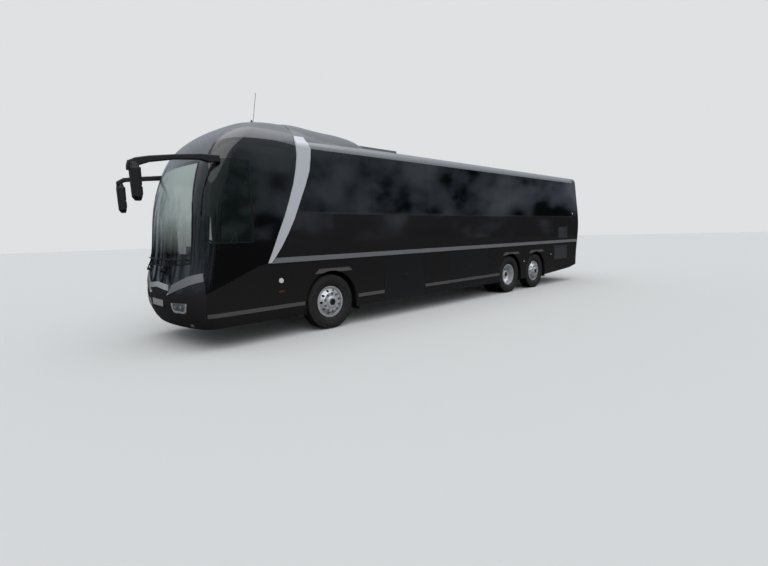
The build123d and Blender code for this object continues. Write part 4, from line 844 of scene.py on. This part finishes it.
@dataclass
class Seals:
    """Rubber seals round the glass and the dark joints between panels."""

    width: float = 0.028
    joint: tuple = (0.006, 0.0008)
    door_gap: float = 0.015
    foot_z: float = 0.37
    belt_z: float = 1.33

    def build(self) -> None:
        """Lay every seal and joint on the surface."""
        front = Skin("windscreen", "front_frame", "roof_dome", "front_bumper", "cab_sides", "quarter_panels")
        mesh = bmesh.new()
        half = [(0, 1.362), (0.7, 1.378), (1.0, 1.405), (0.985, 2.16), (0.925, 2.7), (0.885, 2.99)]
        path = along_line([(-y, z) for y, z in reversed(half[1:])] + half, 0.05)
        add_ribbon(mesh, [front.from_front(y, z) for y, z in path], self.width, 0.003)
        fit("windscreen_seal", mesh, GASKET)
        mesh = bmesh.new()
        for side in Side:
            for x in (0.67, 1.5 if side is Side.LEFT else 2.06, 2.395):
                path = along_line([(x, self.foot_z), (x, self.belt_z if x < 2 else 0.93)])
                add_ribbon(mesh, [front.from_side(ahead(a), b, side.value) for a, b in path], *self.joint)
        path = along_line([(1.55, 3.03), (1.55, 1.712), (2.33, 1.712)], 0.06)
        glass = Skin("driver_window", "cab_sides", "front_frame")
        add_ribbon(mesh, [glass.from_side(ahead(a), b, 1) for a, b in path], 0.02, 0.003)
        self.side_joints(mesh)
        self.roof_joints(mesh)
        fit("panel_joints", mesh, GASKET)
        self.door_seals()

    def side_joints(self, mesh: BMesh) -> None:
        """Joints of the rear pilaster and the edge of the tail cap on both sides."""
        panels = ("skirt_panels", "belt_panels", "rear_wall", "quarter_panels")
        walls = Skin(*panels, "window_frames", "saloon_glass")
        joints = [(x, self.foot_z, self.belt_z) for x in (-8.74, -8.98)]
        joints += [(-10.405, 0.8, 3.3), (-8.98, 1.43, 2.2)]
        for side in Side:
            for x, low, high in joints:
                path = along_line([(x, low), (x, high)])
                add_ribbon(mesh, [walls.from_side(ahead(x), z, side.value) for _, z in path], *self.joint)

    def roof_joints(self, mesh: BMesh) -> None:
        """Joint behind the dome and the sheet joints across the main roof."""
        roof = Skin("roof_dome", "roof_fairing", "roof_panel", "rear_wall")
        for x in (0.62, -3.1, -5.6, -8.1, -10.4):
            hits = [roof.from_above(ahead(x), y * 0.05) for y in range(-23, 24)]
            add_ribbon(mesh, hits, 0.007, 0.0012)

    def door_seals(self) -> None:
        """Rubber edges round both doors and their glass."""
        doors = (("door_front", FRONT_ENTRANCE, 2.93), ("door_mid", MIDDLE_ENTRANCE, 2.15))
        for door, (back, front), top in doors:
            skin = Skin(door, f"{door}_glass")
            mesh = bmesh.new()
            low, high, foot = back + self.door_gap, front - self.door_gap, 0.4
            path = along_line([(low, foot), (low, top), (high, top), (high, foot), (low, foot)], 0.06)
            add_ribbon(mesh, [skin.from_side(ahead(x), z, -1) for x, z in path], 0.014, 0.003)
            fit(f"{door}_seal", mesh, GASKET, door)


@dataclass
class FrontFittings:
    """Lamp inserts, wipers, blank plate and side markers."""

    marker_x: float = 1.086

    def build(self) -> None:
        """Make the fittings of the front end."""
        lamps = Skin("lamps", "front_bumper", "quarter_panels", "cab_sides")
        rim, rings, eyes, whites = bmesh.new(), bmesh.new(), bmesh.new(), bmesh.new()
        for side in Side:
            path = [(0.555, 0.77), (0.55, 0.66), (0.59, 0.63), (0.85, 0.632), (0.925, 0.67), (0.965, 0.775)]
            hits = [lamps.from_front(side.value * y, z) for y, z in along_line(path, 0.03)]
            add_ribbon(rim, hits, 0.03, 0.006)
            for y, z, radius in ((0.655, 0.715, 0.055), (0.81, 0.72, 0.064), (0.888, 0.412, 0.035)):
                found = lamps.from_front(side.value * y, z)
                add_stud(rings, found, -0.004, 0.004, radius, 32)
                add_stud(eyes, found, 0.0, 0.006, radius * 0.86, 32)
                add_stud(rim, found, 0.0, 0.008, radius * 0.3, 24)
        add_stud(whites, lamps.from_side(ahead(self.marker_x), 1.03, Side.LEFT.value), 0.0, 0.012, 0.043, 32)
        fit("lamp_rims", rim, CHROME)
        fit("lamp_rings", rings, DULL_TRIM)
        fit("lamp_eyes", eyes, LENS)
        fit("side_marker", whites, WHITE_LENS)
        self.markers()
        self.plate()
        self.wipers()

    def markers(self) -> None:
        """Amber lamp ahead of each front wheel."""
        walls = Skin("skirt_panels", "quarter_panels")
        mesh = bmesh.new()
        for side in Side:
            x = ahead(self.marker_x)
            y = walls.from_side(x, 0.835, side.value)[0].y
            inner, outer = y - side.value * 0.004, y + side.value * 0.01
            add_box(mesh, (x - 0.055, inner, 0.82), (x + 0.055, outer, 0.85), 0.004)
        fit("amber_markers", mesh, AMBER_LENS)

    def plate(self) -> None:
        """Blank number plate on the nose, in its holder."""
        x = Skin("front_bumper").from_front(0.0, 0.745)[0].x
        holder, plate = bmesh.new(), bmesh.new()
        add_box(holder, (x - 0.02, -0.27, 0.68), (x + 0.006, 0.27, 0.81), 0.004)
        add_box(plate, (x + 0.002, -0.26, 0.69), (x + 0.009, 0.26, 0.8), 0.003)
        fit("plate_holder_front", holder, PLASTIC)
        fit("blank_plate_front", plate, PLATE)

    def wipers(self) -> None:
        """Two wipers parked along the foot of the windscreen."""
        skin = Skin("windscreen", "front_frame")
        mesh = bmesh.new()
        for low, high in ((-0.86, 0.02), (0.1, 0.92)):
            hits = [skin.from_front(y, z) for y, z in along_line([(low, 1.47), (high, 1.46)], 0.05)]
            add_ribbon(mesh, [(p + n * 0.012, n) for p, n in hits], 0.02, 0.022)
            pivot = skin.from_front(low + 0.08, 1.27)
            middle = skin.from_front((low + high) / 2, 1.465)
            add_stud(mesh, pivot, -0.01, 0.05, 0.024)
            add_rod(mesh, pivot[0] + pivot[1] * 0.042, middle[0] + middle[1] * 0.045, 0.012, 8)
            add_stud(mesh, middle, 0.045, 0.02, 0.01, 8)
        fit("wipers", mesh, PLASTIC)


@dataclass
class SideFittings:
    """Flap and door handles, small markers and mirror glass of the sides."""

    # half length, inner and outer Y, lower and upper Z and bevel of a handle's well and grip
    handle: tuple = ((0.07, 1.2745, 1.279, 0.815, 0.905, 0.002), (0.045, 1.278, 1.288, 0.85, 0.88, 0.003))
    mirror_half: float = 0.062
    rim: float = 0.007

    def build(self) -> None:
        """Make the fittings of both sides."""
        places = {"fore": (-2.01, -2.01), "aft": (-4.44, -4.92)}
        for number, side in enumerate(Side):
            for name, middles in places.items():
                x = middles[number]
                mesh = bmesh.new()
                for half, inner, outer, low, high, bevel in self.handle:
                    one = (ahead(x) - half, side.value * inner, low)
                    add_box(mesh, one, (ahead(x) + half, side.value * outer, high), bevel)
                place = f"{name}_{side.label}"
                fit(f"handle_{place}", mesh, PLASTIC, f"flap_{place}")
        self.spots()
        self.mirrors()
        self.door_handles()

    def spots(self) -> None:
        """Small round parts: the marker between the rear axles and the one high on the tail cap."""
        walls = Skin("skirt_panels", "belt_panels", "rear_wall", "saloon_glass")
        mesh = bmesh.new()
        for side in Side:
            for x, z, radius in ((-7.16, 0.86, 0.022), (-10.43, 2.31, 0.03), (-8.86, 0.98, 0.02)):
                found = walls.from_side(ahead(x), z, side.value)
                add_stud(mesh, found, -0.003, 0.006, radius, 24)
        fit("small_side_markers", mesh, WHITE_LENS)

    def mirrors(self) -> None:
        """Main and wide-angle glass in the rear faces of both mirror heads."""
        heads = Skin("mirrors")
        glass, rims = bmesh.new(), bmesh.new()
        for x, y in ((ahead(3.245), 1.285), (ahead(2.82), -1.285)):
            for low, high in ((2.4, 2.52), (2.535, 2.78)):
                face = heads.hit((x - 0.4, y, (low + high) / 2), (1, 0, 0))[0].x
                outer = oblong(y - self.mirror_half, y + self.mirror_half, low, high)
                add_prism(rims, rounded(outer, 0.02), 0, face - 0.006, face + 0.01)
                half = self.mirror_half - self.rim
                inner = oblong(y - half, y + half, low + self.rim, high - self.rim)
                add_prism(glass, rounded(inner, 0.016), 0, face - 0.008, face)
        fit("mirror_glass", glass, MIRROR)
        fit("mirror_glass_rims", rims, PLASTIC)

    def door_handles(self) -> None:
        """Push plates of both doors."""
        for door, x, z in (("door_front", 1.2, 1.2), ("door_mid", -2.82, 1.2)):
            mesh, skin = bmesh.new(), Skin(door)
            found = skin.from_side(ahead(x), z, -1)[0]
            add_box(mesh, found - Vector((0.05, 0.008, 0.03)), found + Vector((0.05, 0.004, 0.03)), 0.003)
            fit(f"{door}_handle", mesh, PLASTIC, door)


class RearFittings:
    """Tail lamp lenses, blank plate and louvres of the lid."""

    def build(self) -> None:
        """Make the fittings of the tail."""
        skin = Skin("rear_wall", "lamps", "engine_lid")
        mesh = bmesh.new()
        for side in Side:
            for z, radius in ((0.99, 0.06), (1.13, 0.06), (1.27, 0.06), (1.4, 0.05)):
                add_stud(mesh, skin.from_rear(side.value * 1.1, z), -0.005, 0.008, radius, 32)
        fit("tail_lamp_lenses", mesh, RED_LENS)
        mesh = bmesh.new()
        x = skin.from_rear(0.0, 1.05)[0].x
        add_box(mesh, (x - 0.012, -0.26, 0.99), (x + 0.03, 0.26, 1.11), 0.003)
        fit("blank_plate_rear", mesh, PLATE, "engine_lid")
        mesh = bmesh.new()
        x = skin.from_rear(0.0, 1.55)[0].x
        blade = [(x - 0.002, 0.0), (x + 0.03, 0.0), (x + 0.03, 0.02), (x + 0.004, 0.02)]
        for y in (-0.62, 0.62):
            add_prism(mesh, blade, 1, y - 0.2, y + 0.2)
        copies = Repeat(9, (0.0035, 0.0, 0.035), (0.0, 0.0, 1.4))
        fit("lid_louvres", mesh, PLASTIC, "engine_lid", copies)


@dataclass
class Roof:
    """Fans and slats of the air-conditioning cover, the foot of the aerial and the seams of the hatches."""

    cover_x: float = -1.83

    def build(self) -> None:
        """Make the fittings of the roof."""
        top = Skin("roof_unit")
        mesh = bmesh.new()
        for x in (-0.3, 0.3):
            found = top.from_above(ahead(self.cover_x + x), 0.0)[0]
            for radius, height in ((0.2, 0.004), (0.17, 0.007), (0.06, 0.012)):
                add_rod(mesh, found - Vector((0, 0, 0.004)), found + Vector((0, 0, height)), radius, 40)
        fit("roof_fans", mesh, PLASTIC)
        for side in Side:
            found = top.from_above(ahead(self.cover_x - 0.45), side.value * 0.5)[0]
            slat = bmesh.new()
            add_box(slat, (-0.008, side.value * 0.36, -0.002), (0.008, side.value * 0.6, 0.006), 0.002)
            copies = Repeat(19, (0.05, 0.0, 0.0), (found.x, 0.0, found.z))
            fit(f"roof_slats_{side.label}", slat, PLASTIC, copies=copies)
        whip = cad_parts["antenna"].data.vertices
        root = min((vertex.co for vertex in whip), key=lambda corner: corner.z)
        mesh = bmesh.new()
        base = Matrix.Translation(root + Vector((0.0, 0.0, 0.035)))
        shape = {"radius1": 0.035, "radius2": 0.011, "depth": 0.09}
        bmesh.ops.create_cone(mesh, cap_ends=True, segments=24, matrix=base, **shape)
        fit("antenna_base", mesh, PLASTIC)
        seams = bmesh.new()
        skin = Skin("roof_unit", "roof_panel")
        for x in (-4.8, -8.2):
            path = rounded(oblong(-0.31, 0.31, -0.31, 0.31), 0.06)
            hits = [skin.from_above(ahead(x) + a, b) for a, b in path]
            add_ribbon(seams, hits, 0.012, 0.003, closed=True)
        fit("hatch_seams", seams, GASKET)


@dataclass
class Cabin:
    """Luggage racks, ceiling, stairwell linings, handrails, dashboard instruments, pedals and partition."""

    rail_radius: float = 0.016

    def build(self) -> None:
        """Make the fittings of cab and saloon."""
        self.racks()
        self.ceiling()
        self.wells()
        self.rails()
        self.instruments()
        self.partition()

    def racks(self) -> None:
        """Racks over the seats with a service unit over every row."""
        for side in Side:
            s = side.value
            mesh = bmesh.new()
            shelf = [(s * 1.19, 2.94), (s * 0.84, 2.86), (s * 0.8, 2.87), (s * 0.79, 2.93), (s * 0.82, 2.93)]
            shelf += [(s * 0.84, 2.9), (s * 1.19, 2.97)]
            add_prism(mesh, shelf, 0, ahead(-10.1), ahead(0.45))
            fit(f"luggage_rack_{side.label}", mesh, LINING)
            unit = bmesh.new()
            add_box(unit, (-0.16, s * 0.88, -0.045), (0.16, s * 1.12, 0.0), 0.015)
            for x, radius in ((-0.09, 0.022), (0.0, 0.022), (0.09, 0.028)):
                add_rod(unit, (x, s * 1.0, -0.055), (x, s * 1.0, -0.04), radius, 16)
            copies = Repeat(13, (-SEAT_PITCH, 0.0, 0.0), (ahead(-0.1), 0.0, 2.885))
            fit(f"service_units_{side.label}", unit, DASH, copies=copies)

    def ceiling(self) -> None:
        """Lining under the roof, with a strip of light along each side of the aisle."""
        mesh = bmesh.new()
        arch = [(-1.1, 3.3), (-0.9, 3.36), (-0.5, 3.4), (0.0, 3.415), (0.5, 3.4), (0.9, 3.36), (1.1, 3.3)]
        outline = arch + [(y, z - 0.015) for y, z in reversed(arch)]
        add_prism(mesh, outline, 0, ahead(-10.3), ahead(0.5))
        fit("ceiling_lining", mesh, LINING)
        mesh = bmesh.new()
        for side in (-1, 1):
            add_box(mesh, (ahead(-10.2), side * 0.42, 3.368), (ahead(0.4), side * 0.5, 3.386), 0.004)
        fit("ceiling_lamps", mesh, WHITE_LENS)

    def wells(self) -> None:
        """Side linings of both stairwells, from the lowest step to the floor, clear of the door arms."""
        mesh = bmesh.new()
        wells = ((FRONT_ENTRANCE, -0.43, CAB_FLOOR_Z), (MIDDLE_ENTRANCE, -0.29, SALOON_FLOOR_Z))
        for ends, inner, top in wells:
            for x in ends:
                add_box(mesh, (ahead(x) - 0.003, -1.17, 0.36), (ahead(x) + 0.003, inner, top))
        fit("stairwell_linings", mesh, FLOORING)

    def rails(self) -> None:
        """Handrails beside both flights of steps."""
        mesh = bmesh.new()
        posts = [(1.06, -0.4, CAB_FLOOR_Z, 1.9)] + [(x, -0.27, SALOON_FLOOR_Z, 2.3) for x in (-3.62, -2.65)]
        for x, inner, low, top in posts:
            foot, head = Vector((ahead(x), inner, low)), Vector((ahead(x), inner, top))
            outer = Vector((ahead(x), -1.12, top - 0.55))
            add_rod(mesh, foot, head, self.rail_radius, 16)
            add_rod(mesh, head, outer, self.rail_radius, 16)
            add_rod(mesh, foot, foot + Vector((0, 0, 0.012)), 0.035, 20)
        fit("handrails", mesh, TRIM)

    def instruments(self) -> None:
        """Hood, dials, blank screen, switches and pedals."""
        skin = Skin("dashboard")
        top = skin.from_above(ahead(2.2), 0.7)[0]
        back = skin.hit((ahead(1.2), 0.55, 1.14), (1, 0, 0))[0]
        plastic, dark, bright = bmesh.new(), bmesh.new(), bmesh.new()
        outline = [(top.x - 0.1, top.z - 0.02), (top.x + 0.12, top.z - 0.02), (top.x + 0.1, top.z + 0.05)]
        outline += [(top.x - 0.07, top.z + 0.1), (top.x - 0.11, top.z + 0.09)]
        add_prism(plastic, outline, 1, 0.44, 0.96)
        add_box(plastic, (top.x - 0.04, 0.02, top.z - 0.02), (top.x, 0.34, top.z + 0.16), 0.01)
        add_box(dark, (top.x - 0.045, 0.04, top.z + 0.005), (top.x - 0.035, 0.32, top.z + 0.145), 0.002)
        for y, radius in ((0.58, 0.055), (0.82, 0.055), (0.7, 0.035)):
            at = Vector((top.x - 0.104, y, top.z + 0.035))
            add_rod(bright, at, at - Vector((0.006, 0, 0)), radius, 32)
            add_rod(dark, at, at - Vector((0.009, 0, 0)), radius - 0.007, 32)
        for y, height in ((0.62, 0.12), (0.78, 0.12)):
            add_box(dark, (back.x - 0.07, y - 0.035, 1.04), (back.x - 0.05, y + 0.035, 1.04 + height), 0.006)
            add_rod(plastic, (back.x - 0.06, y, 1.1), (back.x + 0.02, y, 1.16), 0.012, 10)
        found = skin.hit((ahead(1.2), 0.3, 1.45), (1, 0, 0))
        if found:
            for row in range(3):
                for column in range(4):
                    at = Vector((found[0].x, 0.24 + column * 0.035, 1.4 + row * 0.04))
                    half = Vector((0.005, 0.013, 0.014))
                    middle = at - Vector((0.001, 0.0, 0.0))
                    add_box(dark, middle - half, middle + half, 0.002)
        fit("dash_hood", plastic, DASH)
        fit("dials_and_pedals", dark, PLASTIC)
        fit("dial_rims", bright, CHROME)

    def partition(self) -> None:
        """Glass screen behind the driver, in a frame of tube."""
        mesh = bmesh.new()
        corners = [(0.36, CAB_FLOOR_Z), (0.36, 2.25), (1.16, 2.25), (1.16, CAB_FLOOR_Z)]
        for one, two in zip(corners, corners[1:] + corners[:1]):
            add_rod(mesh, (ahead(1.0), *one), (ahead(1.0), *two), self.rail_radius, 16)
        fit("partition_frame", mesh, TRIM)
        mesh = bmesh.new()
        add_box(mesh, (ahead(0.997), 0.37, 1.02), (ahead(1.003), 1.15, 2.24))
        fit("partition_glass", mesh, SIDE_GLASS)


class Underbody:
    """Running gear under the floor and what stands round the engine."""

    def build(self) -> None:
        """Make the fittings that show from below and with the lid open."""
        self.running_gear()
        self.engine()

    def running_gear(self) -> None:
        """Tanks, dampers, propeller shaft, final drive and brake chambers."""
        mesh = bmesh.new()
        rods = [((-1.09, y, 0.55), (0.0, 0.58, 0.0), 0.13, 28) for y in (-0.62, 0.04)]
        for x in AXLES.values():
            for y in (-0.5, 0.5):
                rods.append(((x + 0.16, y, 0.42), (0.02, 0.0, 0.26), 0.034, 16))
                rods.append(((x + 0.18, y, 0.68), (0.02, 0.0, 0.26), 0.045, 16))
        chambers = [(AXLES[axle], y) for y in (-0.28, 0.28) for axle in ("drive", "tag")]
        rods += [((x + 0.12, y, 0.56), (0.16, 0.0, 0.0), 0.085, 24) for x, y in chambers]
        rods.append(((AXLES["drive"], -0.14, 0.53), (0.0, 0.28, 0.0), 0.2, 32))
        rods.append(((-6.4, 0.0, 0.56), (-0.45, 0.0, 0.04), 0.085, 24))
        rods.append(((-6.85, 0.0, 0.6), (-2.25, 0.0, 0.16), 0.05, 24))
        for (x, y, z), run, radius, sides in rods:
            start = Vector((ahead(x), y, z))
            add_rod(mesh, start, start + Vector(run), radius, sides)
        fit("running_gear", mesh, STEEL)

    def engine(self) -> None:
        """Pulleys and belts, radiator, silencer and exhaust, and the ribs of the block."""
        dark, cast = bmesh.new(), bmesh.new()
        back = ahead(-10.425)
        for y, z, radius in ((0.0, 0.8, 0.13), (-0.2, 1.05, 0.07), (0.18, 1.1, 0.08), (0.05, 1.24, 0.05)):
            add_rod(cast, (back + 0.005, y, z), (back - 0.05, y, z), radius, 32)
            add_rod(dark, (back - 0.02, y, z), (back - 0.04, y, z), radius + 0.006, 32)
        belts = [((-0.12, 0.85), (-0.265, 1.06)), ((0.13, 0.82), (0.258, 1.1))]
        belts += [((-0.17, 1.115), (0.03, 1.29))]
        for one, two in belts:
            add_rod(dark, (back - 0.03, *one), (back - 0.03, *two), 0.007, 8)
        add_box(cast, (back + 0.1, 0.34, 0.95), (back + 0.95, 0.42, 1.15), 0.02)
        add_rod(cast, (back + 0.1, -0.55, 1.12), (back + 0.6, -0.55, 1.12), 0.12, 28)
        add_rod(cast, (ahead(-10.2), -0.75, 0.6), (ahead(-9.5), -0.75, 0.6), 0.13, 28)
        add_rod(cast, (ahead(-10.2), -0.75, 0.58), (ahead(-10.75), -0.75, 0.5), 0.045, 20)
        add_box(dark, (ahead(-10.0), 1.1, 0.82), (ahead(-9.25), 1.17, 1.24), 0.01)
        fit("belts_and_radiator", dark, PLASTIC)
        fit("engine_ancillaries", cast, IRON)
        rib = bmesh.new()
        add_box(rib, (-0.012, -0.36, 0.66), (0.012, 0.36, 1.3), 0.004)
        copies = Repeat(9, (0.13, 0.0, 0.0), (back + 0.08, 0.0, 0.0))
        fit("engine_ribs", rib, IRON, copies=copies)


@dataclass
class Studio:
    """Pale floor, soft light and the camera at the photograph's place."""

    camera_at: tuple = (8.9325, 8.0756, 1.7654)
    focal_mm: float = 20.857
    sensor_mm: float = 36.0
    sight: float = 300.0
    floor_half: float = 120.0
    yaw: float = -2.32695602
    pitch: float = -0.10772442
    roll: float = -0.02911135
    # what reflections show from the ground, at 0, to the zenith, at 1
    mirrored: tuple = ((0.0, "#1b1b1c"), (0.48, "#161617"), (0.51, "#101113"), (0.55, "#656d78"))
    mirrored += ((0.62, "#959da7"), (0.75, "#aab1b9"), (0.86, "#c8ced5"), (1.0, "#e6eaee"))

    def camera(self) -> None:
        """Place the camera."""
        flat = math.cos(self.pitch)
        forward = Vector((math.cos(self.yaw) * flat, math.sin(self.yaw) * flat, math.sin(self.pitch)))
        level = Vector((math.sin(self.yaw), -math.cos(self.yaw), 0.0))
        rise = level.cross(forward)
        c, s = math.cos(self.roll), math.sin(self.roll)
        right, up = c * level + s * rise, c * rise - s * level
        turn = Matrix((right, up, -forward)).transposed()
        data = bpy.data.cameras.new("camera")
        data.lens = self.focal_mm
        data.sensor_width = self.sensor_mm
        data.clip_end = self.sight
        piece = bpy.data.objects.new("camera", data)
        piece.matrix_world = Matrix.Translation(self.camera_at) @ turn.to_4x4()
        bpy.context.scene.collection.objects.link(piece)
        bpy.context.scene.camera = piece

    def floor(self) -> None:
        """Wide floor under the tyres."""
        mesh = bmesh.new()
        bmesh.ops.create_grid(mesh, x_segments=1, y_segments=1, size=self.floor_half)
        piece = from_bmesh("studio_floor", mesh, StudioFloor("matt_studio_floor", "#cfd0d0", 0.9))

    def world(self) -> None:
        """Even light with a pale background; reflections show a dark tree line under a bright sky."""
        world = bpy.data.worlds.new("studio_world")
        world.use_nodes = True
        bpy.context.scene.world = world
        world.node_tree.nodes.clear()
        graph = Graph(world.node_tree)
        path = graph.add("ShaderNodeLightPath").outputs
        towards = graph.add("ShaderNodeTexCoord").outputs["Generated"]
        trees = {"Vector": towards, "Scale": 14.0, "Detail": 8.0}
        crowns = graph.add("ShaderNodeTexNoise", trees).outputs[0]
        ragged = graph.combined("MULTIPLY_ADD", crowns, 0.9, graph.split(towards)["Z"])
        ramp = graph.add("ShaderNodeValToRGB", {0: graph.ranged(ragged, 0.0, 1.0, -0.55, 1.45)})
        stops = ramp.color_ramp.elements
        for place, colour in self.mirrored:
            stop = stops[0] if place == 0.0 else stops.new(place)
            stop.color = linear(colour)
        stops[-1].color = linear(self.mirrored[-1][1])
        lights = ((linear("#e9edf2"), 0.6), (linear("#dfe1e3"), 1.0), (ramp.outputs[0], 1.0))
        even, pale, sky = (
            graph.add("ShaderNodeBackground", {"Color": colour, "Strength": strength}).outputs[0]
            for colour, strength in lights
        )
        seen = graph.combined("MAXIMUM", path["Is Camera Ray"], path["Is Transmission Ray"])
        shown = graph.add("ShaderNodeMixShader", {0: seen, 1: even, 2: pale}).outputs[0]
        mix = graph.add("ShaderNodeMixShader", {0: path["Is Glossy Ray"], 1: shown, 2: sky})
        graph.add("ShaderNodeOutputWorld", {"Surface": mix.outputs[0]})

    def lamps(self) -> None:
        """Wide soft light from above and a weaker one from the side of the camera."""
        for name, towards, spread, power in (
            ("sky_light", (-0.15, -0.3, -1.0), 1.6, 1.7),
            ("side_light", (-0.5, -1.0, -0.45), 0.8, 0.6),
        ):
            data = bpy.data.lights.new(name, "SUN")
            data.angle = spread
            data.energy = power
            piece = bpy.data.objects.new(name, data)
            piece.visible_glossy = name == "sky_light"
            piece.rotation_euler = Vector(towards).to_track_quat("-Z", "Y").to_euler()
            bpy.context.scene.collection.objects.link(piece)

    def build(self) -> None:
        """Set up floor, light and camera."""
        self.camera()
        self.floor()
        self.world()
        self.lamps()
        bpy.context.scene.view_settings.view_transform = "Standard"


@dataclass(frozen=True)
class Patch:
    """Faces of a CAD node that have another finish than the rest of it, chosen by where their centres lie."""

    node: str
    finish: Finish
    low: tuple
    high: tuple

    def paint(self) -> None:
        """Assign the finish to the faces between the two corners."""
        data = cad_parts[self.node].data
        data.materials.append(self.finish.material())
        number = len(data.materials) - 1
        for polygon in data.polygons:
            if all(a <= c <= b for a, c, b in zip(self.low, polygon.center, self.high)):
                polygon.material_index = number


PATCHES = (
    Patch("bright_trims", CHROME, (ahead(2.2), -0.47, 0.8), (FAR, 0.47, 1.3)),
    Patch("bright_trims", DULL_TRIM, (-FAR, -WIDE, 0.3), (FAR, WIDE, 0.62)),
    Patch("bright_trims", DULL_TRIM, (-FAR, -WIDE, 0.9), (ahead(1.0), WIDE, 1.3)),
    Patch("flap_aft_left", DULL_TRIM, (-FAR, 1.276, 0.3), (FAR, WIDE, 0.62)),
    Patch("flap_aft_right", DULL_TRIM, (-FAR, -WIDE, 0.3), (FAR, -1.276, 0.62)),
    # roof shoulder coves, made pale grey as a painted sky reflection
    Patch("roof_panel", ROOF_EDGE_REFLECTION, (-FAR, 1.15, 3.3), (FAR, 1.3, 3.6)),
    Patch("roof_panel", ROOF_EDGE_REFLECTION, (-FAR, -1.3, 3.3), (FAR, -1.15, 3.6)),
)


def dress_nodes() -> None:
    """Give every CAD node that stays in view its finish."""
    for finish, nodes in NODE_FINISHES:
        for node in nodes.split():
            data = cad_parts[node].data
            data.materials.clear()
            data.materials.append(finish.material())
            for polygon in data.polygons:
                polygon.material_index = 0
            LOG.info("%s dressed in %s", node, finish.name)
    for patch in PATCHES:
        patch.paint()


def main() -> None:
    """Dress the solids, build the fittings and set the studio."""
    logging.basicConfig(level=logging.INFO, format="%(message)s")
    dress_nodes()
    outside = (Wheels(), Seals(), FrontFittings(), SideFittings(), RearFittings(), Roof())
    for assembly in (*outside, Seats(), Cabin(), Underbody(), Studio()):
        LOG.info("building %s", type(assembly).__name__)
        assembly.build()


if __name__ == "__main__":
    main()
